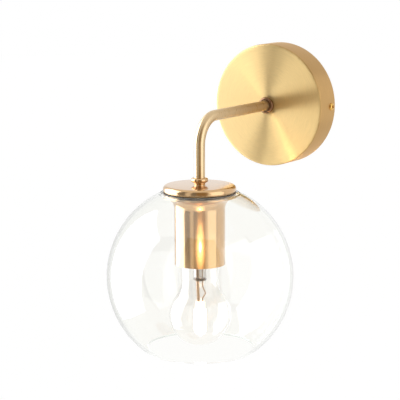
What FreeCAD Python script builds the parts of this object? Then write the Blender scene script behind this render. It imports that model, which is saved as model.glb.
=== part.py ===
import FreeCAD, Part
import math
import os
import re
import Sketcher

# Globe wall sconce: a round wall plate, a bent brass arm and a clear glass globe that hangs
# under a brass cap, with a socket cup and a screw-in lamp inside it.
# Millimetres. The origin is the centre of the plate where it meets the wall, +Z is up and
# the lamp stands out from the wall along -Y. The lamp axis is vertical, at y = -arm_reach.

V = FreeCAD.Vector

SIZES = {
    # wall plate and the strap behind it
    "plate_dia": 123.5,
    "plate_depth": 30,
    "plate_wall": 1.2,
    "plate_edge": 0.4,
    "strap_width": 24,
    "strap_thickness": 2,
    "ear_length": 14,
    "ear_gap": 0.3,
    "slot_spacing": 70,
    "slot_length": 12,
    "slot_width": 5,
    "cable_hole_dia": 14,
    "side_screw_inset": 8,
    "side_screw_dia": 4,
    "side_screw_length": 9,
    "side_head_dia": 7.5,
    "side_head_height": 2.2,
    "side_hex_width": 3,
    "side_hex_depth": 1.4,
    "screw_play": 0.1,
    "slit_width": 0.8,
    "slit_depth": 0.8,
    # earthing and supply terminals inside the plate
    "earth_margin": 1,
    "earth_clearance": 0.4,
    "earth_screw_dia": 4,
    "earth_head_dia": 7,
    "earth_head_height": 2.4,
    "earth_washer_dia": 10,
    "earth_washer_thickness": 0.8,
    "earth_bend": 3,
    "tag_dia": 17,
    "tag_thickness": 0.8,
    "tag_tail_width": 5,
    "tag_tail_reach": 13,
    "block_gap": 2.4,
    "block_width": 16,
    "block_height": 30,
    "block_depth": 14,
    "block_edge": 1,
    "pole_pitch": 10,
    "pole_play": 0.2,
    "block_screw_dia": 3,
    "block_screw_head_dia": 5.6,
    "block_screw_head_height": 2,
    "terminal_screw_dia": 2.8,
    # arm
    "arm_reach": 155,
    "arm_drop": 63.8,
    "arm_bend": 27,
    "tube_dia": 10.5,
    "tube_bore": 8,
    "thread_dia": 10,
    "thread_play": 0.1,
    "rear_thread": 8.8,
    "rear_ring_dia": 17,
    "rear_ring_thickness": 4.4,
    "bead_dia": 16.6,
    "bead_height": 4.6,
    "foot_dia": 12.4,
    "foot_height": 2.4,
    "nut_width": 14,
    "nut_height": 4,
    "washer_dia": 16,
    "washer_thickness": 0.8,
    "washer_teeth": 12,
    "tooth_gap": 1.2,
    "tooth_depth": 1.6,
    # cap, globe and socket cup
    "cap_dia": 70.4,
    "cap_height": 7.2,
    "cap_wall": 1.3,
    "cap_round": 1.9,
    "gasket_thickness": 0.5,
    "gasket_width": 4,
    "gasket_inset": 0.3,
    "globe_dia": 180,
    "glass_wall": 3,
    "pad_margin": 3.1,
    "pad_thickness": 2.5,
    "mouth_dia": 106,
    "neck_hole_dia": 42,
    "spigot_play": 0.6,
    "spigot_height": 4,
    "cup_gap": 3.15,
    "cup_height": 66.5,
    "cup_wall": 1.2,
    "flange_lip": 0.6,
    # lampholder
    "holder_dia": 40,
    "holder_wall": 2,
    "holder_top_gap": 1.2,
    "holder_dome_height": 20,
    "holder_dome_round": 7,
    "holder_boss_dia": 15,
    "holder_entry": 10,
    "insulator_play": 0.3,
    "insulator_thickness": 8,
    "skirt_height": 36,
    "skirt_ledge": 1.6,
    "skirt_gap": 2.25,
    "terminal_x": 7,
    "terminal_width": 6,
    "terminal_length": 8,
    "terminal_height": 6,
    "pin_head_dia": 5.3,
    "pin_head_height": 1.8,
    "lamp_play": 0.45,
    "holder_shell_wall": 0.4,
    "holder_shell_height": 23,
    "holder_shell_lip": 3.5,
    "contact_width": 6,
    "contact_thickness": 0.6,
    "contact_reach": 7,
    "contact_drop": 3,
    "contact_gap": 0.3,
    # wires
    "wire_dia": 2,
    "wire_offset": 1.6,
    "wire_bend": 3.2,
    "wire_level": 9,
    # lamp
    "lamp_length": 108.5,
    "lamp_dia": 60,
    "lamp_neck_dia": 35.6,
    "lamp_neck_blend": 20,
    "lamp_shoulder": 4,
    "lamp_glass_wall": 0.8,
    "lamp_root_gap": 0.35,
    "lamp_root_height": 5,
    "shell_dia": 26.2,
    "shell_wall": 0.35,
    "shell_rib": 0.9,
    "shell_height": 22.3,
    "thread_pitch": 3.629,
    "tip_dia": 9.6,
    "tip_height": 1.5,
    "insulator_height": 3.2,
    "stem_dia": 12.6,
    "stem_length": 17,
    "stem_wall": 1.2,
    "lead_dia": 1.5,
    "lead_hook_dia": 0.9,
    "lead_spread": 2.4,
    "hook_start": 6.3,
    "hook_knee": 13,
    "hook_reach": 5.3,
    "hook_end": 2.7,
    "lead_angle": 33,
    "lead_length": 21,
    "capsule_dia": 12,
    "capsule_length": 34,
    "capsule_wall": 1,
    "pinch_height": 7,
    "pinch_width": 8,
    "pinch_thickness": 3,
    "filament_dia": 1.6,
    "filament_length": 14,
    "filament_wall": 0.3,
}

doc = FreeCAD.newDocument("globe_wall_sconce")
sheet = doc.addObject("Spreadsheet::Sheet", "Sizes")
for row, (alias, number) in enumerate(SIZES.items(), start=1):
    sheet.set(f"A{row}", alias)
    sheet.set(f"B{row}", str(number))
    sheet.setAlias(f"B{row}", alias)
doc.recompute()

# Levels on the lamp axis, from the arm's axis down, as formulas of the sizes above.
CAP_TOP = "(-arm_drop)"
CAP_FOOT = f"({CAP_TOP} - cap_height)"
PAD_TOP = f"({CAP_FOOT} - gasket_thickness)"
PAD_UNDER = f"({PAD_TOP} - pad_thickness)"
FLANGE_TOP = f"({PAD_UNDER} - gasket_thickness)"
WEB_UNDER = f"({FLANGE_TOP} - cup_wall)"
CUP_FOOT = f"({FLANGE_TOP} - cup_height)"
CUP_WASHER_UNDER = f"({WEB_UNDER} - washer_thickness)"
CUP_NUT_UNDER = f"({CUP_WASHER_UNDER} - nut_height)"
HOLDER_TOP = f"({CUP_NUT_UNDER} - holder_top_gap)"
TUBE_FOOT = f"({HOLDER_TOP} - holder_entry)"
DOME_FOOT = f"({HOLDER_TOP} - holder_dome_height)"
INSULATOR_UNDER = f"({DOME_FOOT} - insulator_thickness)"
GLOBE_CENTRE = f"({PAD_TOP} - sqrt(pow(globe_dia / 2; 2) - pow(cap_dia / 2 + pad_margin; 2)))"
LAMP_TIP = f"({INSULATOR_UNDER} - contact_drop - contact_gap)"
LAMP_FOOT = f"({LAMP_TIP} - lamp_length)"
SHELL_TOP = f"({LAMP_TIP} - tip_height - insulator_height)"
SHELL_FOOT = f"({SHELL_TOP} - shell_height)"
STEM_FOOT = f"({SHELL_FOOT} - stem_length)"
CAPSULE_TOP = f"({STEM_FOOT} - lead_length)"
# Levels on the arm's axis, from the wall out.
PLATE_FRONT = "(-plate_depth)"
PLATE_INSIDE = f"({PLATE_FRONT} + plate_wall)"
TAG_INSIDE = f"({PLATE_INSIDE} + tag_thickness)"
REAR_WASHER_INSIDE = f"({TAG_INSIDE} + washer_thickness)"
REAR_NUT_INSIDE = f"({REAR_WASHER_INSIDE} + nut_height)"
TUBE_BACK = f"({PLATE_INSIDE} + rear_thread)"
RING_FRONT = f"({PLATE_FRONT} - rear_ring_thickness)"
LAMP_AXIS = "(-arm_reach)"

NODES = []


def bound(formula):
    """A formula of bare size names, written so that any object can read the sheet."""
    return re.sub(r"[a-z]+(?:_[a-z]+)+", r"Sizes.\g<0>", formula)


def value(formula):
    """The number that a formula of size names gives."""
    return float(sheet.evalExpression(formula))


def point(*formulas):
    """The place that three formulas give."""
    return V(*[value(formula) for formula in formulas])


def node(label, item):
    """Name a finished piece and keep it for writing."""
    item.Label = label
    NODES.append(item)
    return item


def place(item, x="0", y="0", z="0", axis=None, angle="0"):
    """Put an object where three formulas say, turned about an axis if one is given."""
    if axis:
        item.Placement = FreeCAD.Placement(V(0, 0, 0), FreeCAD.Rotation(axis, value(angle)))
        item.setExpression("Placement.Rotation.Angle", bound(angle))
    for letter, formula in zip("xyz", (x, y, z)):
        item.setExpression(f"Placement.Base.{letter}", bound(formula))
    return item


# ---------------------------------------------------------------- sketches and bodies


def arc_between(start, end, radius, side):
    """The short arc from start to end whose centre lies left or right of the way there."""
    half = (end - start) * 0.5
    reach = math.sqrt(max(radius ** 2 - half.Length ** 2, 0))
    across = V(-half.y, half.x, 0).normalize() * (reach if side == "left" else -reach)
    centre = start + half + across
    first, last = (start, end) if side == "left" else (end, start)
    angles = [math.atan2(p.y - centre.y, p.x - centre.x) for p in (first, last)]
    if angles[1] < angles[0]:
        angles[1] += 2 * math.pi
    return Part.ArcOfCircle(Part.Circle(centre, V(0, 0, 1), radius), *angles)


def new_sketch(body, name, plane):
    """An empty sketch on one of the body's own planes."""
    sketch = body.newObject("Sketcher::SketchObject", name)
    support = next(o for o in body.Origin.OriginFeatures if o.Role == plane + "_Plane")
    sketch.AttachmentSupport = [(support, "")]
    sketch.MapMode = "FlatFace"
    return sketch


def bind_constraint(sketch, constraint, name, formula):
    """Add a named dimension whose value follows a formula."""
    index = sketch.addConstraint(constraint)
    sketch.renameConstraint(index, name)
    sketch.setExpression(f"Constraints.{name}", bound(formula))


def draw(sketch, outline, closed=True):
    """Draw lines and arcs through the corners of an outline.

    A corner is (across, up), with (radius, side) added where an arc leaves it. Every corner
    and radius is a formula.
    """
    corners = [point(step[0], step[1], "0") for step in outline]
    edges = []
    for index, step in enumerate(outline):
        if index == len(outline) - 1 and not closed:
            break
        start, end = corners[index], corners[(index + 1) % len(corners)]
        if len(step) == 2:
            edges.append((sketch.addGeometry(Part.LineSegment(start, end), False), 1, 2))
        else:
            arc = sketch.addGeometry(arc_between(start, end, value(step[2]), step[3]), False)
            ends = (1, 2) if step[3] == "left" else (2, 1)
            edges.append((arc, *ends))
    for index, (edge, _, last) in enumerate(edges):
        if index < len(edges) - 1 or closed:
            following, first, _ = edges[(index + 1) % len(edges)]
            sketch.addConstraint(Sketcher.Constraint("Coincident", edge, last, following, first))
    for index, step in enumerate(outline):
        edge, spot = (edges[index][0], edges[index][1]) if index < len(edges) else \
            (edges[-1][0], edges[-1][2])
        for name, kind, formula in (("x", "DistanceX", step[0]), ("y", "DistanceY", step[1])):
            rule = Sketcher.Constraint(kind, -1, 1, edge, spot, value(formula))
            bind_constraint(sketch, rule, f"{name}{index}", formula)
        if len(step) == 4:
            rule = Sketcher.Constraint("Radius", edge, value(step[2]))
            bind_constraint(sketch, rule, f"r{index}", step[2])


def new_body(name):
    """An empty body."""
    return doc.addObject("PartDesign::Body", name + "_body")


def turned(name, plane, outline):
    """A body turned about the sketch's upright axis.

    On the XZ plane the axis is the lamp's, and on the XY plane it is the arm's, at the wall.
    """
    body = new_body(name)
    sketch = new_sketch(body, name + "_outline", plane)
    draw(sketch, outline)
    turn = body.newObject("PartDesign::Revolution", name + "_turn")
    turn.Profile = sketch
    turn.ReferenceAxis = (sketch, ["V_Axis"])
    turn.Angle = 360
    if plane == "XZ":
        place(body, y=LAMP_AXIS)
    return body


# ---------------------------------------------------------------- plain solids and joins


def block(name, size, corner):
    """A box with its lowest corner at a place."""
    item = doc.addObject("Part::Box", name)
    for side, formula in zip(("Length", "Width", "Height"), size):
        item.setExpression(side, bound(formula))
    return place(item, *corner)


def rod(name, dia, length, start, axis="Z"):
    """A cylinder from a place along +X, +Y or +Z."""
    item = doc.addObject("Part::Cylinder", name)
    item.setExpression("Radius", bound(f"({dia}) / 2"))
    item.setExpression("Height", bound(length))
    turns = {"X": (V(0, 1, 0), "90"), "Y": (V(1, 0, 0), "-90"), "Z": (None, "0")}
    return place(item, *start, *turns[axis])


def hexagon(name, width, height, start, axis="Z"):
    """A six-sided bar, measured across its flats."""
    item = doc.addObject("Part::Prism", name)
    item.Polygon = 6
    item.setExpression("Circumradius", bound(f"({width}) / sqrt(3)"))
    item.setExpression("Height", bound(height))
    turns = {"X": (V(0, 1, 0), "90"), "Y": (V(1, 0, 0), "-90"), "Z": (None, "0")}
    return place(item, *start, *turns[axis])


def fuse(name, *items):
    """Several solids as one."""
    item = doc.addObject("Part::MultiFuse", name)
    item.Shapes = list(items)
    item.Refine = True
    return item


def group(name, items):
    """Several separate solids in one node."""
    item = doc.addObject("Part::Compound", name)
    item.Links = list(items)
    return item


def cut(name, base, *tools):
    """One solid with others taken out of it."""
    item = doc.addObject("Part::Cut", name)
    item.Base = base
    item.Tool = tools[0] if len(tools) == 1 else fuse(name + "_tools", *tools)
    item.Refine = True
    return item


def route(points, radius):
    """A path of straight runs joined by tangent arcs of one radius."""
    edges = []
    start = points[0]
    for before, corner, after in zip(points, points[1:], points[2:]):
        back = (before - corner).normalize()
        on = (after - corner).normalize()
        half = back.getAngle(on) / 2
        trim = radius / math.tan(half)
        first, last = corner + back * trim, corner + on * trim
        middle = corner + (back + on).normalize() * (radius / math.sin(half) - radius)
        edges += [Part.makeLine(start, first), Part.Arc(first, middle, last).toShape()]
        start = last
    edges.append(Part.makeLine(start, points[-1]))
    return Part.Wire(edges)


def wire_solid(path, dia):
    """A round wire along a path, with its volume compared with its section and length."""
    first = path.Edges[0]
    ring = Part.Wire(Part.makeCircle(dia / 2, first.valueAt(first.FirstParameter),
                                     first.tangentAt(first.FirstParameter)))
    solid = path.makePipeShell([ring], True, True)
    expected = math.pi * dia ** 2 / 4 * path.Length
    if abs(solid.Volume - expected) > 0.01 * expected:
        raise RuntimeError(f"wire volume {solid.Volume:.1f} is not {expected:.1f}")
    return solid


def feature(label, shape):
    """A piece whose shape is made here, from the sheet's sizes."""
    item = doc.addObject("Part::Feature", label + "_piece")
    item.Shape = shape
    item.Placement = FreeCAD.Placement()
    return node(label, item)


# ---------------------------------------------------------------- wall plate


EARTH_END = "((slot_spacing - slot_length) / 2 - earth_margin)"
EARTH_TURN = f"({EARTH_END} - earth_washer_dia - earth_bend)"
EARTH_SPOT = (f"-({EARTH_END} - earth_washer_dia / 2)",
              "-(earth_screw_dia / 2 + wire_dia / 2 + earth_clearance)")
BLOCK_SIDE = "(nut_width / sqrt(3) + block_gap)"
BLOCK_MIDDLE = f"({BLOCK_SIDE} + block_width / 2)"
BLOCK_FRONT = "(-strap_thickness - block_depth)"
PIN_DEPTH = "(strap_thickness + block_depth - wire_level - wire_dia / 2)"
POLES = (("neutral", "-pole_pitch"), ("middle", "0"), ("live", "pole_pitch"))
SCREW_ROWS = (("inner", f"({BLOCK_MIDDLE} - block_width / 4)"),
              ("outer", f"({BLOCK_MIDDLE} + block_width / 4)"))
EAR_FACE = "(sqrt(pow(plate_dia / 2 - plate_wall; 2) - pow(strap_width / 2; 2)) - ear_gap)"


def make_wall_bracket():
    """A steel strap with slots for the wall and ears tapped for the plate's side screws."""
    strap = block("strap", (f"2 * {EAR_FACE}", "strap_thickness", "strap_width"),
                  (f"-{EAR_FACE}", "-strap_thickness", "-strap_width / 2"))
    ears, holes = [], []
    for side, sign in (("left", "-1"), ("right", "1")):
        ears.append(block(f"{side}_ear", ("strap_thickness", "ear_length", "strap_width"),
                          (f"{sign} * ({EAR_FACE} - strap_thickness / 2) - strap_thickness / 2",
                           "-ear_length", "-strap_width / 2")))
        middle = f"{sign} * slot_spacing / 2"
        through = "strap_thickness + 2"
        half = "(slot_length - slot_width) / 2"
        holes.append(block(f"{side}_slot", (f"2 * {half}", through, "slot_width"),
                           (f"{middle} - {half}", f"1 - ({through})", "-slot_width / 2")))
        for end, way in (("inner", "-1"), ("outer", "1")):
            holes.append(rod(f"{side}_slot_{end}", "slot_width", through,
                             (f"{middle} + {way} * {half}", f"1 - ({through})", "0"), "Y"))
    body = fuse("bracket_blank", strap, *ears)
    holes.append(rod("cable_hole", "cable_hole_dia", "strap_thickness + 2",
                     ("0", "-strap_thickness - 1", "0"), "Y"))
    holes.append(rod("earth_hole", "earth_screw_dia + 2 * screw_play", "strap_thickness + 2",
                     (EARTH_SPOT[0], "-strap_thickness - 1", EARTH_SPOT[1]), "Y"))
    holes.append(rod("block_hole", "block_screw_dia + 2 * screw_play", "strap_thickness + 2",
                     (BLOCK_MIDDLE, "-strap_thickness - 1", "pole_pitch / 2"), "Y"))
    holes.append(rod("ear_holes", "side_screw_dia + 2 * screw_play", "plate_dia",
                     ("-plate_dia / 2", "-side_screw_inset", "0"), "X"))
    node("wall_bracket", cut("bracket", body, *holes))


def make_canopy():
    """The spun brass plate: a flat face, a deep rim and a small round between them."""
    rim, inside = "plate_dia / 2", "(plate_dia / 2 - plate_wall)"
    outer_round = "(plate_edge + plate_wall)"
    hole = "(thread_dia / 2 + thread_play)"
    shell = turned("canopy", "XY", [
        (hole, PLATE_FRONT),
        (f"{rim} - {outer_round}", PLATE_FRONT, outer_round, "left"),
        (rim, f"{PLATE_FRONT} + {outer_round}"),
        (rim, "0"),
        (inside, "0"),
        (inside, f"{PLATE_INSIDE} + plate_edge", "plate_edge", "right"),
        (f"{inside} - plate_edge", PLATE_INSIDE),
        (hole, PLATE_INSIDE),
    ])
    holes = rod("rim_holes", "side_screw_dia + 4 * screw_play", "plate_dia + 2",
                ("-plate_dia / 2 - 1", "-side_screw_inset", "0"), "X")
    node("canopy", cut("canopy_drilled", shell, holes))


def make_canopy_screws():
    """Two small round-headed screws with a hexagon socket, through the rim into the ears."""
    screws = []
    for side, sign, turn in (("left", "-1", "-90"), ("right", "1", "90")):
        body = new_body(f"{side}_screw")
        sketch = new_sketch(body, f"{side}_screw_outline", "XZ")
        draw(sketch, [
            ("0", "-side_screw_length"),
            ("side_screw_dia / 2", "-side_screw_length"),
            ("side_screw_dia / 2", "0"),
            ("side_head_dia / 2", "0"),
            ("side_head_dia / 2", "side_head_height / 2",
             "side_head_height / 2", "left"),
            ("side_head_dia / 2 - side_head_height / 2", "side_head_height"),
            ("0", "side_head_height"),
        ])
        screw = body.newObject("PartDesign::Revolution", f"{side}_screw_turn")
        screw.Profile = sketch
        screw.ReferenceAxis = (sketch, ["V_Axis"])
        screw.Angle = 360
        socket = hexagon(f"{side}_socket", "side_hex_width", "side_hex_depth + 1",
                         ("0", "0", "side_head_height - side_hex_depth"))
        item = cut(f"{side}_screw", body, socket)
        place(item, f"{sign} * plate_dia / 2", "-side_screw_inset", "0", V(0, 1, 0), turn)
        screws.append(item)
    node("canopy_screws", group("side_screws", screws))


# ---------------------------------------------------------------- terminals in the plate


def make_terminal_block():
    """A three-pole block on the strap, with a wire hole right through at each pole."""
    blank = block("block_blank", ("block_width", "block_depth", "block_height"),
                  (BLOCK_SIDE, BLOCK_FRONT, "-block_height / 2"))
    rounded = doc.addObject("Part::Fillet", "block_rounded")
    rounded.Base = blank
    doc.recompute()
    rounded.Edges = [(index + 1, value("block_edge"), value("block_edge"))
                     for index, edge in enumerate(blank.Shape.Edges)
                     if abs(edge.tangentAt(edge.FirstParameter).y) > 0.5]
    holes = [rod("fixing_hole", "block_screw_dia + 2 * screw_play", "block_depth + 2",
                 (BLOCK_MIDDLE, f"{BLOCK_FRONT} - 1", "pole_pitch / 2"), "Y"),
             rod("fixing_sink", "block_screw_head_dia + 2 * screw_play", "block_depth / 2",
                 (BLOCK_MIDDLE, BLOCK_FRONT, "pole_pitch / 2"), "Y")]
    for name, up in POLES:
        holes.append(rod(f"{name}_hole", "wire_dia + 2 * pole_play", "block_width + 2",
                         (f"{BLOCK_SIDE} - 1", "-wire_level", up), "X"))
        for end, across in SCREW_ROWS:
            holes.append(rod(f"{name}_{end}_well", "terminal_screw_dia + 2 * screw_play",
                             f"{PIN_DEPTH} + 1", (across, f"{BLOCK_FRONT} - 1", up), "Y"))
    node("terminal_block", cut("block_drilled", rounded, *holes))


def make_terminal_screws():
    """Six slotted screws in the block's wells."""
    screws = []
    for name, up in POLES:
        for end, across in SCREW_ROWS:
            stem = rod(f"{name}_{end}_pin", "terminal_screw_dia", PIN_DEPTH,
                       (across, BLOCK_FRONT, up), "Y")
            slit = block(f"{name}_{end}_slit",
                         ("terminal_screw_dia", "2 * slit_depth", "slit_width"),
                         (f"{across} - terminal_screw_dia / 2",
                          f"{BLOCK_FRONT} - slit_depth", f"{up} - slit_width / 2"))
            screws.append(cut(f"{name}_{end}_screw", stem, slit))
    node("terminal_screws", group("pole_screws", screws))


def make_block_screw():
    """The screw that holds the block on the strap."""
    seat = "-strap_thickness - block_depth / 2"
    shank = rod("block_shank", "block_screw_dia", "block_depth / 2 + strap_thickness",
                (BLOCK_MIDDLE, seat, "pole_pitch / 2"), "Y")
    face = f"({seat} - block_screw_head_height)"
    head = rod("block_head", "block_screw_head_dia", "block_screw_head_height",
               (BLOCK_MIDDLE, face, "pole_pitch / 2"), "Y")
    slit = block("block_slit", ("block_screw_head_dia", "2 * slit_depth", "slit_width"),
                 (f"{BLOCK_MIDDLE} - block_screw_head_dia / 2", f"{face} - slit_depth",
                  "pole_pitch / 2 - slit_width / 2"))
    node("terminal_block_screw", cut("block_screw", fuse("block_fixing", shank, head), slit))


def make_earth_parts():
    """The earth screw and washer on the strap, and the tag under the arm's nut."""
    spot = EARTH_SPOT
    washer_back = "(strap_thickness + wire_dia)"
    head_back = f"({washer_back} + earth_washer_thickness)"
    washer = rod("earth_disc", "earth_washer_dia", "earth_washer_thickness",
                 (spot[0], f"-{head_back}", spot[1]), "Y")
    bore = rod("earth_bore", "earth_screw_dia + 2 * screw_play", "earth_washer_thickness + 2",
               (spot[0], f"-{head_back} - 1", spot[1]), "Y")
    node("earth_washer", cut("earth_ring", washer, bore))
    head = rod("earth_head", "earth_head_dia", "earth_head_height",
               (spot[0], f"-{head_back} - earth_head_height", spot[1]), "Y")
    shank = rod("earth_shank", "earth_screw_dia", head_back,
                (spot[0], f"-{head_back}", spot[1]), "Y")
    slits = []
    for name, size in (("slit", ("earth_head_dia", "2 * slit_depth", "slit_width")),
                       ("cross", ("slit_width", "2 * slit_depth", "earth_head_dia"))):
        slits.append(block(f"earth_{name}", size,
                           (f"{spot[0]} - {size[0]} / 2",
                            f"-{head_back} - earth_head_height - slit_depth",
                            f"{spot[1]} - {size[2]} / 2")))
    node("earth_screw", cut("earth_fixing", fuse("earth_bolt", head, shank), *slits))
    disc = rod("tag_disc", "tag_dia", "tag_thickness", ("0", PLATE_INSIDE, "0"), "Y")
    tail = block("tag_tail", ("tag_tail_reach", "tag_thickness", "tag_tail_width"),
                 ("-tag_tail_reach", PLATE_INSIDE, "-tag_tail_width / 2"))
    hole = rod("tag_hole", "thread_dia + 2 * thread_play", "tag_thickness + 2",
               ("0", f"{PLATE_INSIDE} - 1", "0"), "Y")
    node("earth_tag", cut("tag", fuse("tag_blank", disc, tail), hole))


# ---------------------------------------------------------------- arm and its fixings


def make_arm_tube():
    """One bent tube. Both ends are turned down and threaded."""
    body = new_body("arm_tube")
    spine = new_sketch(body, "arm_line", "YZ")
    draw(spine, [
        (TUBE_BACK, "0"),
        ("arm_bend - arm_reach", "0", "arm_bend", "left"),
        ("-arm_reach", "-arm_bend"),
        ("-arm_reach", TUBE_FOOT),
    ], closed=False)
    section = new_sketch(body, "arm_section", "XZ")
    section.setExpression("AttachmentOffset.Base.z", bound(f"-({TUBE_BACK})"))
    for name, size in (("outer", "tube_dia / 2"), ("inner", "tube_bore / 2")):
        ring = section.addGeometry(Part.Circle(V(0, 0, 0), V(0, 0, 1), value(size)), False)
        section.addConstraint(Sketcher.Constraint("Coincident", ring, 3, -1, 1))
        rule = Sketcher.Constraint("Radius", ring, value(size))
        bind_constraint(section, rule, name, size)
    pipe = body.newObject("PartDesign::AdditivePipe", "arm_pipe")
    pipe.Profile = section
    pipe.Spine = spine
    doc.recompute()
    for name, offset, outline in (
        ("rear", "0", [
            (f"{TUBE_BACK} + 1", "thread_dia / 2"),
            (RING_FRONT, "thread_dia / 2"),
            (RING_FRONT, "tube_dia / 2 + 1"),
            (f"{TUBE_BACK} + 1", "tube_dia / 2 + 1"),
        ]),
        ("foot", "-arm_reach", [
            ("thread_dia / 2", f"{TUBE_FOOT} - 1"),
            ("thread_dia / 2", BEAD_TOP),
            ("tube_dia / 2 + 1", BEAD_TOP),
            ("tube_dia / 2 + 1", f"{TUBE_FOOT} - 1"),
        ]),
    ):
        sketch = new_sketch(body, f"{name}_thread", "YZ")
        sketch.setExpression("AttachmentOffset.Base.x", bound(offset))
        draw(sketch, outline)
        groove = body.newObject("PartDesign::Groove", f"{name}_turned_down")
        groove.Profile = sketch
        groove.ReferenceAxis = (sketch, ["H_Axis" if name == "rear" else "V_Axis"])
        groove.Angle = 360
        doc.recompute()
    node("arm_tube", body)


BEAD_TOP = f"({CAP_TOP} + foot_height + bead_height)"
COLLAR_BORE = "(thread_dia / 2 + thread_play)"


def make_collars():
    """The dark ring against the plate and the bead that sits on the cap."""
    ring, half = "rear_ring_dia / 2", "rear_ring_thickness / 2"
    node("rear_collar", turned("rear_collar", "XY", [
        (COLLAR_BORE, PLATE_FRONT),
        (COLLAR_BORE, RING_FRONT),
        (f"{ring} - {half}", RING_FRONT, half, "left"),
        (ring, f"{PLATE_FRONT} - {half}", half, "left"),
        (f"{ring} - {half}", PLATE_FRONT),
    ]))
    bead_foot = f"({CAP_TOP} + foot_height)"
    bead, half = "bead_dia / 2", "bead_height / 2"
    node("lower_collar", turned("lower_collar", "XZ", [
        (COLLAR_BORE, BEAD_TOP),
        (COLLAR_BORE, CAP_TOP),
        ("foot_dia / 2", CAP_TOP),
        ("foot_dia / 2", bead_foot),
        (f"{bead} - {half}", bead_foot, half, "left"),
        (bead, f"{bead_foot} + {half}", half, "left"),
        (f"{bead} - {half}", BEAD_TOP),
    ]))


def make_nut(label, corner, axis):
    """A thin six-sided nut on the arm's thread."""
    bar = hexagon(f"{label}_bar", "nut_width", "nut_height", corner, axis)
    hole = rod(f"{label}_hole", "thread_dia + 2 * thread_play", "nut_height", corner, axis)
    node(label, cut(f"{label}_cut", bar, hole))


def make_washers():
    """The toothed washer behind the plate and the plain one under the cup's web."""
    corner = ("0", TAG_INSIDE, "0")
    disc = rod("rear_disc", "washer_dia", "washer_thickness", corner, "Y")
    tools = [rod("rear_disc_hole", "thread_dia + 2 * thread_play", "washer_thickness",
                 corner, "Y")]
    count = int(value("washer_teeth"))
    for index in range(count):
        angle = f"{index} * 360 / washer_teeth"
        gap = doc.addObject("Part::Box", f"tooth_gap_{index}")
        gap.setExpression("Length", bound("tooth_depth + 1"))
        gap.setExpression("Width", bound("washer_thickness"))
        gap.setExpression("Height", bound("tooth_gap"))
        reach = "(washer_dia / 2 - tooth_depth)"
        place(gap, f"{reach} * cos({angle}) - tooth_gap / 2 * sin({angle})", TAG_INSIDE,
              f"-{reach} * sin({angle}) - tooth_gap / 2 * cos({angle})",
              V(0, 1, 0), angle)
        tools.append(gap)
    node("rear_washer", cut("rear_washer_cut", disc, *tools))
    corner = ("0", LAMP_AXIS, CUP_WASHER_UNDER)
    disc = rod("cup_disc", "washer_dia", "washer_thickness", corner)
    hole = rod("cup_disc_hole", "thread_dia + 2 * thread_play", "washer_thickness", corner)
    node("cup_washer", cut("cup_washer_cut", disc, hole))


# ---------------------------------------------------------------- cap, globe and cup


def make_shade_cap():
    """A shallow brass cap with a rounded shoulder, open underneath."""
    rim = "cap_dia / 2"
    inside = f"({rim} - cap_wall)"
    outer_round = "(cap_round + cap_wall)"
    shoulder = f"({CAP_TOP} - {outer_round})"
    node("shade_cap", turned("shade_cap", "XZ", [
        (COLLAR_BORE, f"{CAP_TOP} - cap_wall"),
        (f"{inside} - cap_round", f"{CAP_TOP} - cap_wall", "cap_round", "right"),
        (inside, shoulder),
        (inside, CAP_FOOT),
        (rim, CAP_FOOT),
        (rim, shoulder, outer_round, "left"),
        (f"{rim} - {outer_round}", CAP_TOP),
        (COLLAR_BORE, CAP_TOP),
    ]))


def make_gaskets():
    """Thin rubber rings above and below the glass."""
    for label, top in (("cap_gasket", CAP_FOOT), ("flange_gasket", PAD_UNDER)):
        corner = ("0", LAMP_AXIS, f"{top} - gasket_thickness")
        disc = rod(f"{label}_disc", "cap_dia - 2 * gasket_inset", "gasket_thickness",
                   corner)
        hole = rod(f"{label}_hole", "cap_dia - 2 * gasket_width", "gasket_thickness", corner)
        node(label, cut(f"{label}_cut", disc, hole))


# A hair over half the wall, so that the arc round the mouth has one clear centre.
RIM_ROUND = "(0.51 * glass_wall)"


def make_glass_globe():
    """A blown globe with a flat pad and hole on top and a fire-polished mouth below."""
    outer, inner = "(globe_dia / 2)", "(globe_dia / 2 - glass_wall)"
    inner_pad = f"sqrt(pow({inner}; 2) - pow({PAD_UNDER} - {GLOBE_CENTRE}; 2))"
    middle = "(globe_dia / 2 - glass_wall / 2)"
    lean = f"asin(mouth_dia / 2 / {middle})"
    low = f"{GLOBE_CENTRE} - "
    node("glass_globe", turned("glass_globe", "XZ", [
        ("neck_hole_dia / 2", PAD_UNDER),
        (inner_pad, PAD_UNDER, inner, "right"),
        (inner, GLOBE_CENTRE, inner, "right"),
        (f"{inner} * sin({lean})", f"{low}{inner} * cos({lean})",
         RIM_ROUND, "left"),
        (f"{outer} * sin({lean})", f"{low}{outer} * cos({lean})", outer, "left"),
        (outer, GLOBE_CENTRE, outer, "left"),
        ("cap_dia / 2 + pad_margin", PAD_TOP),
        ("neck_hole_dia / 2", PAD_TOP),
    ]))


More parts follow.
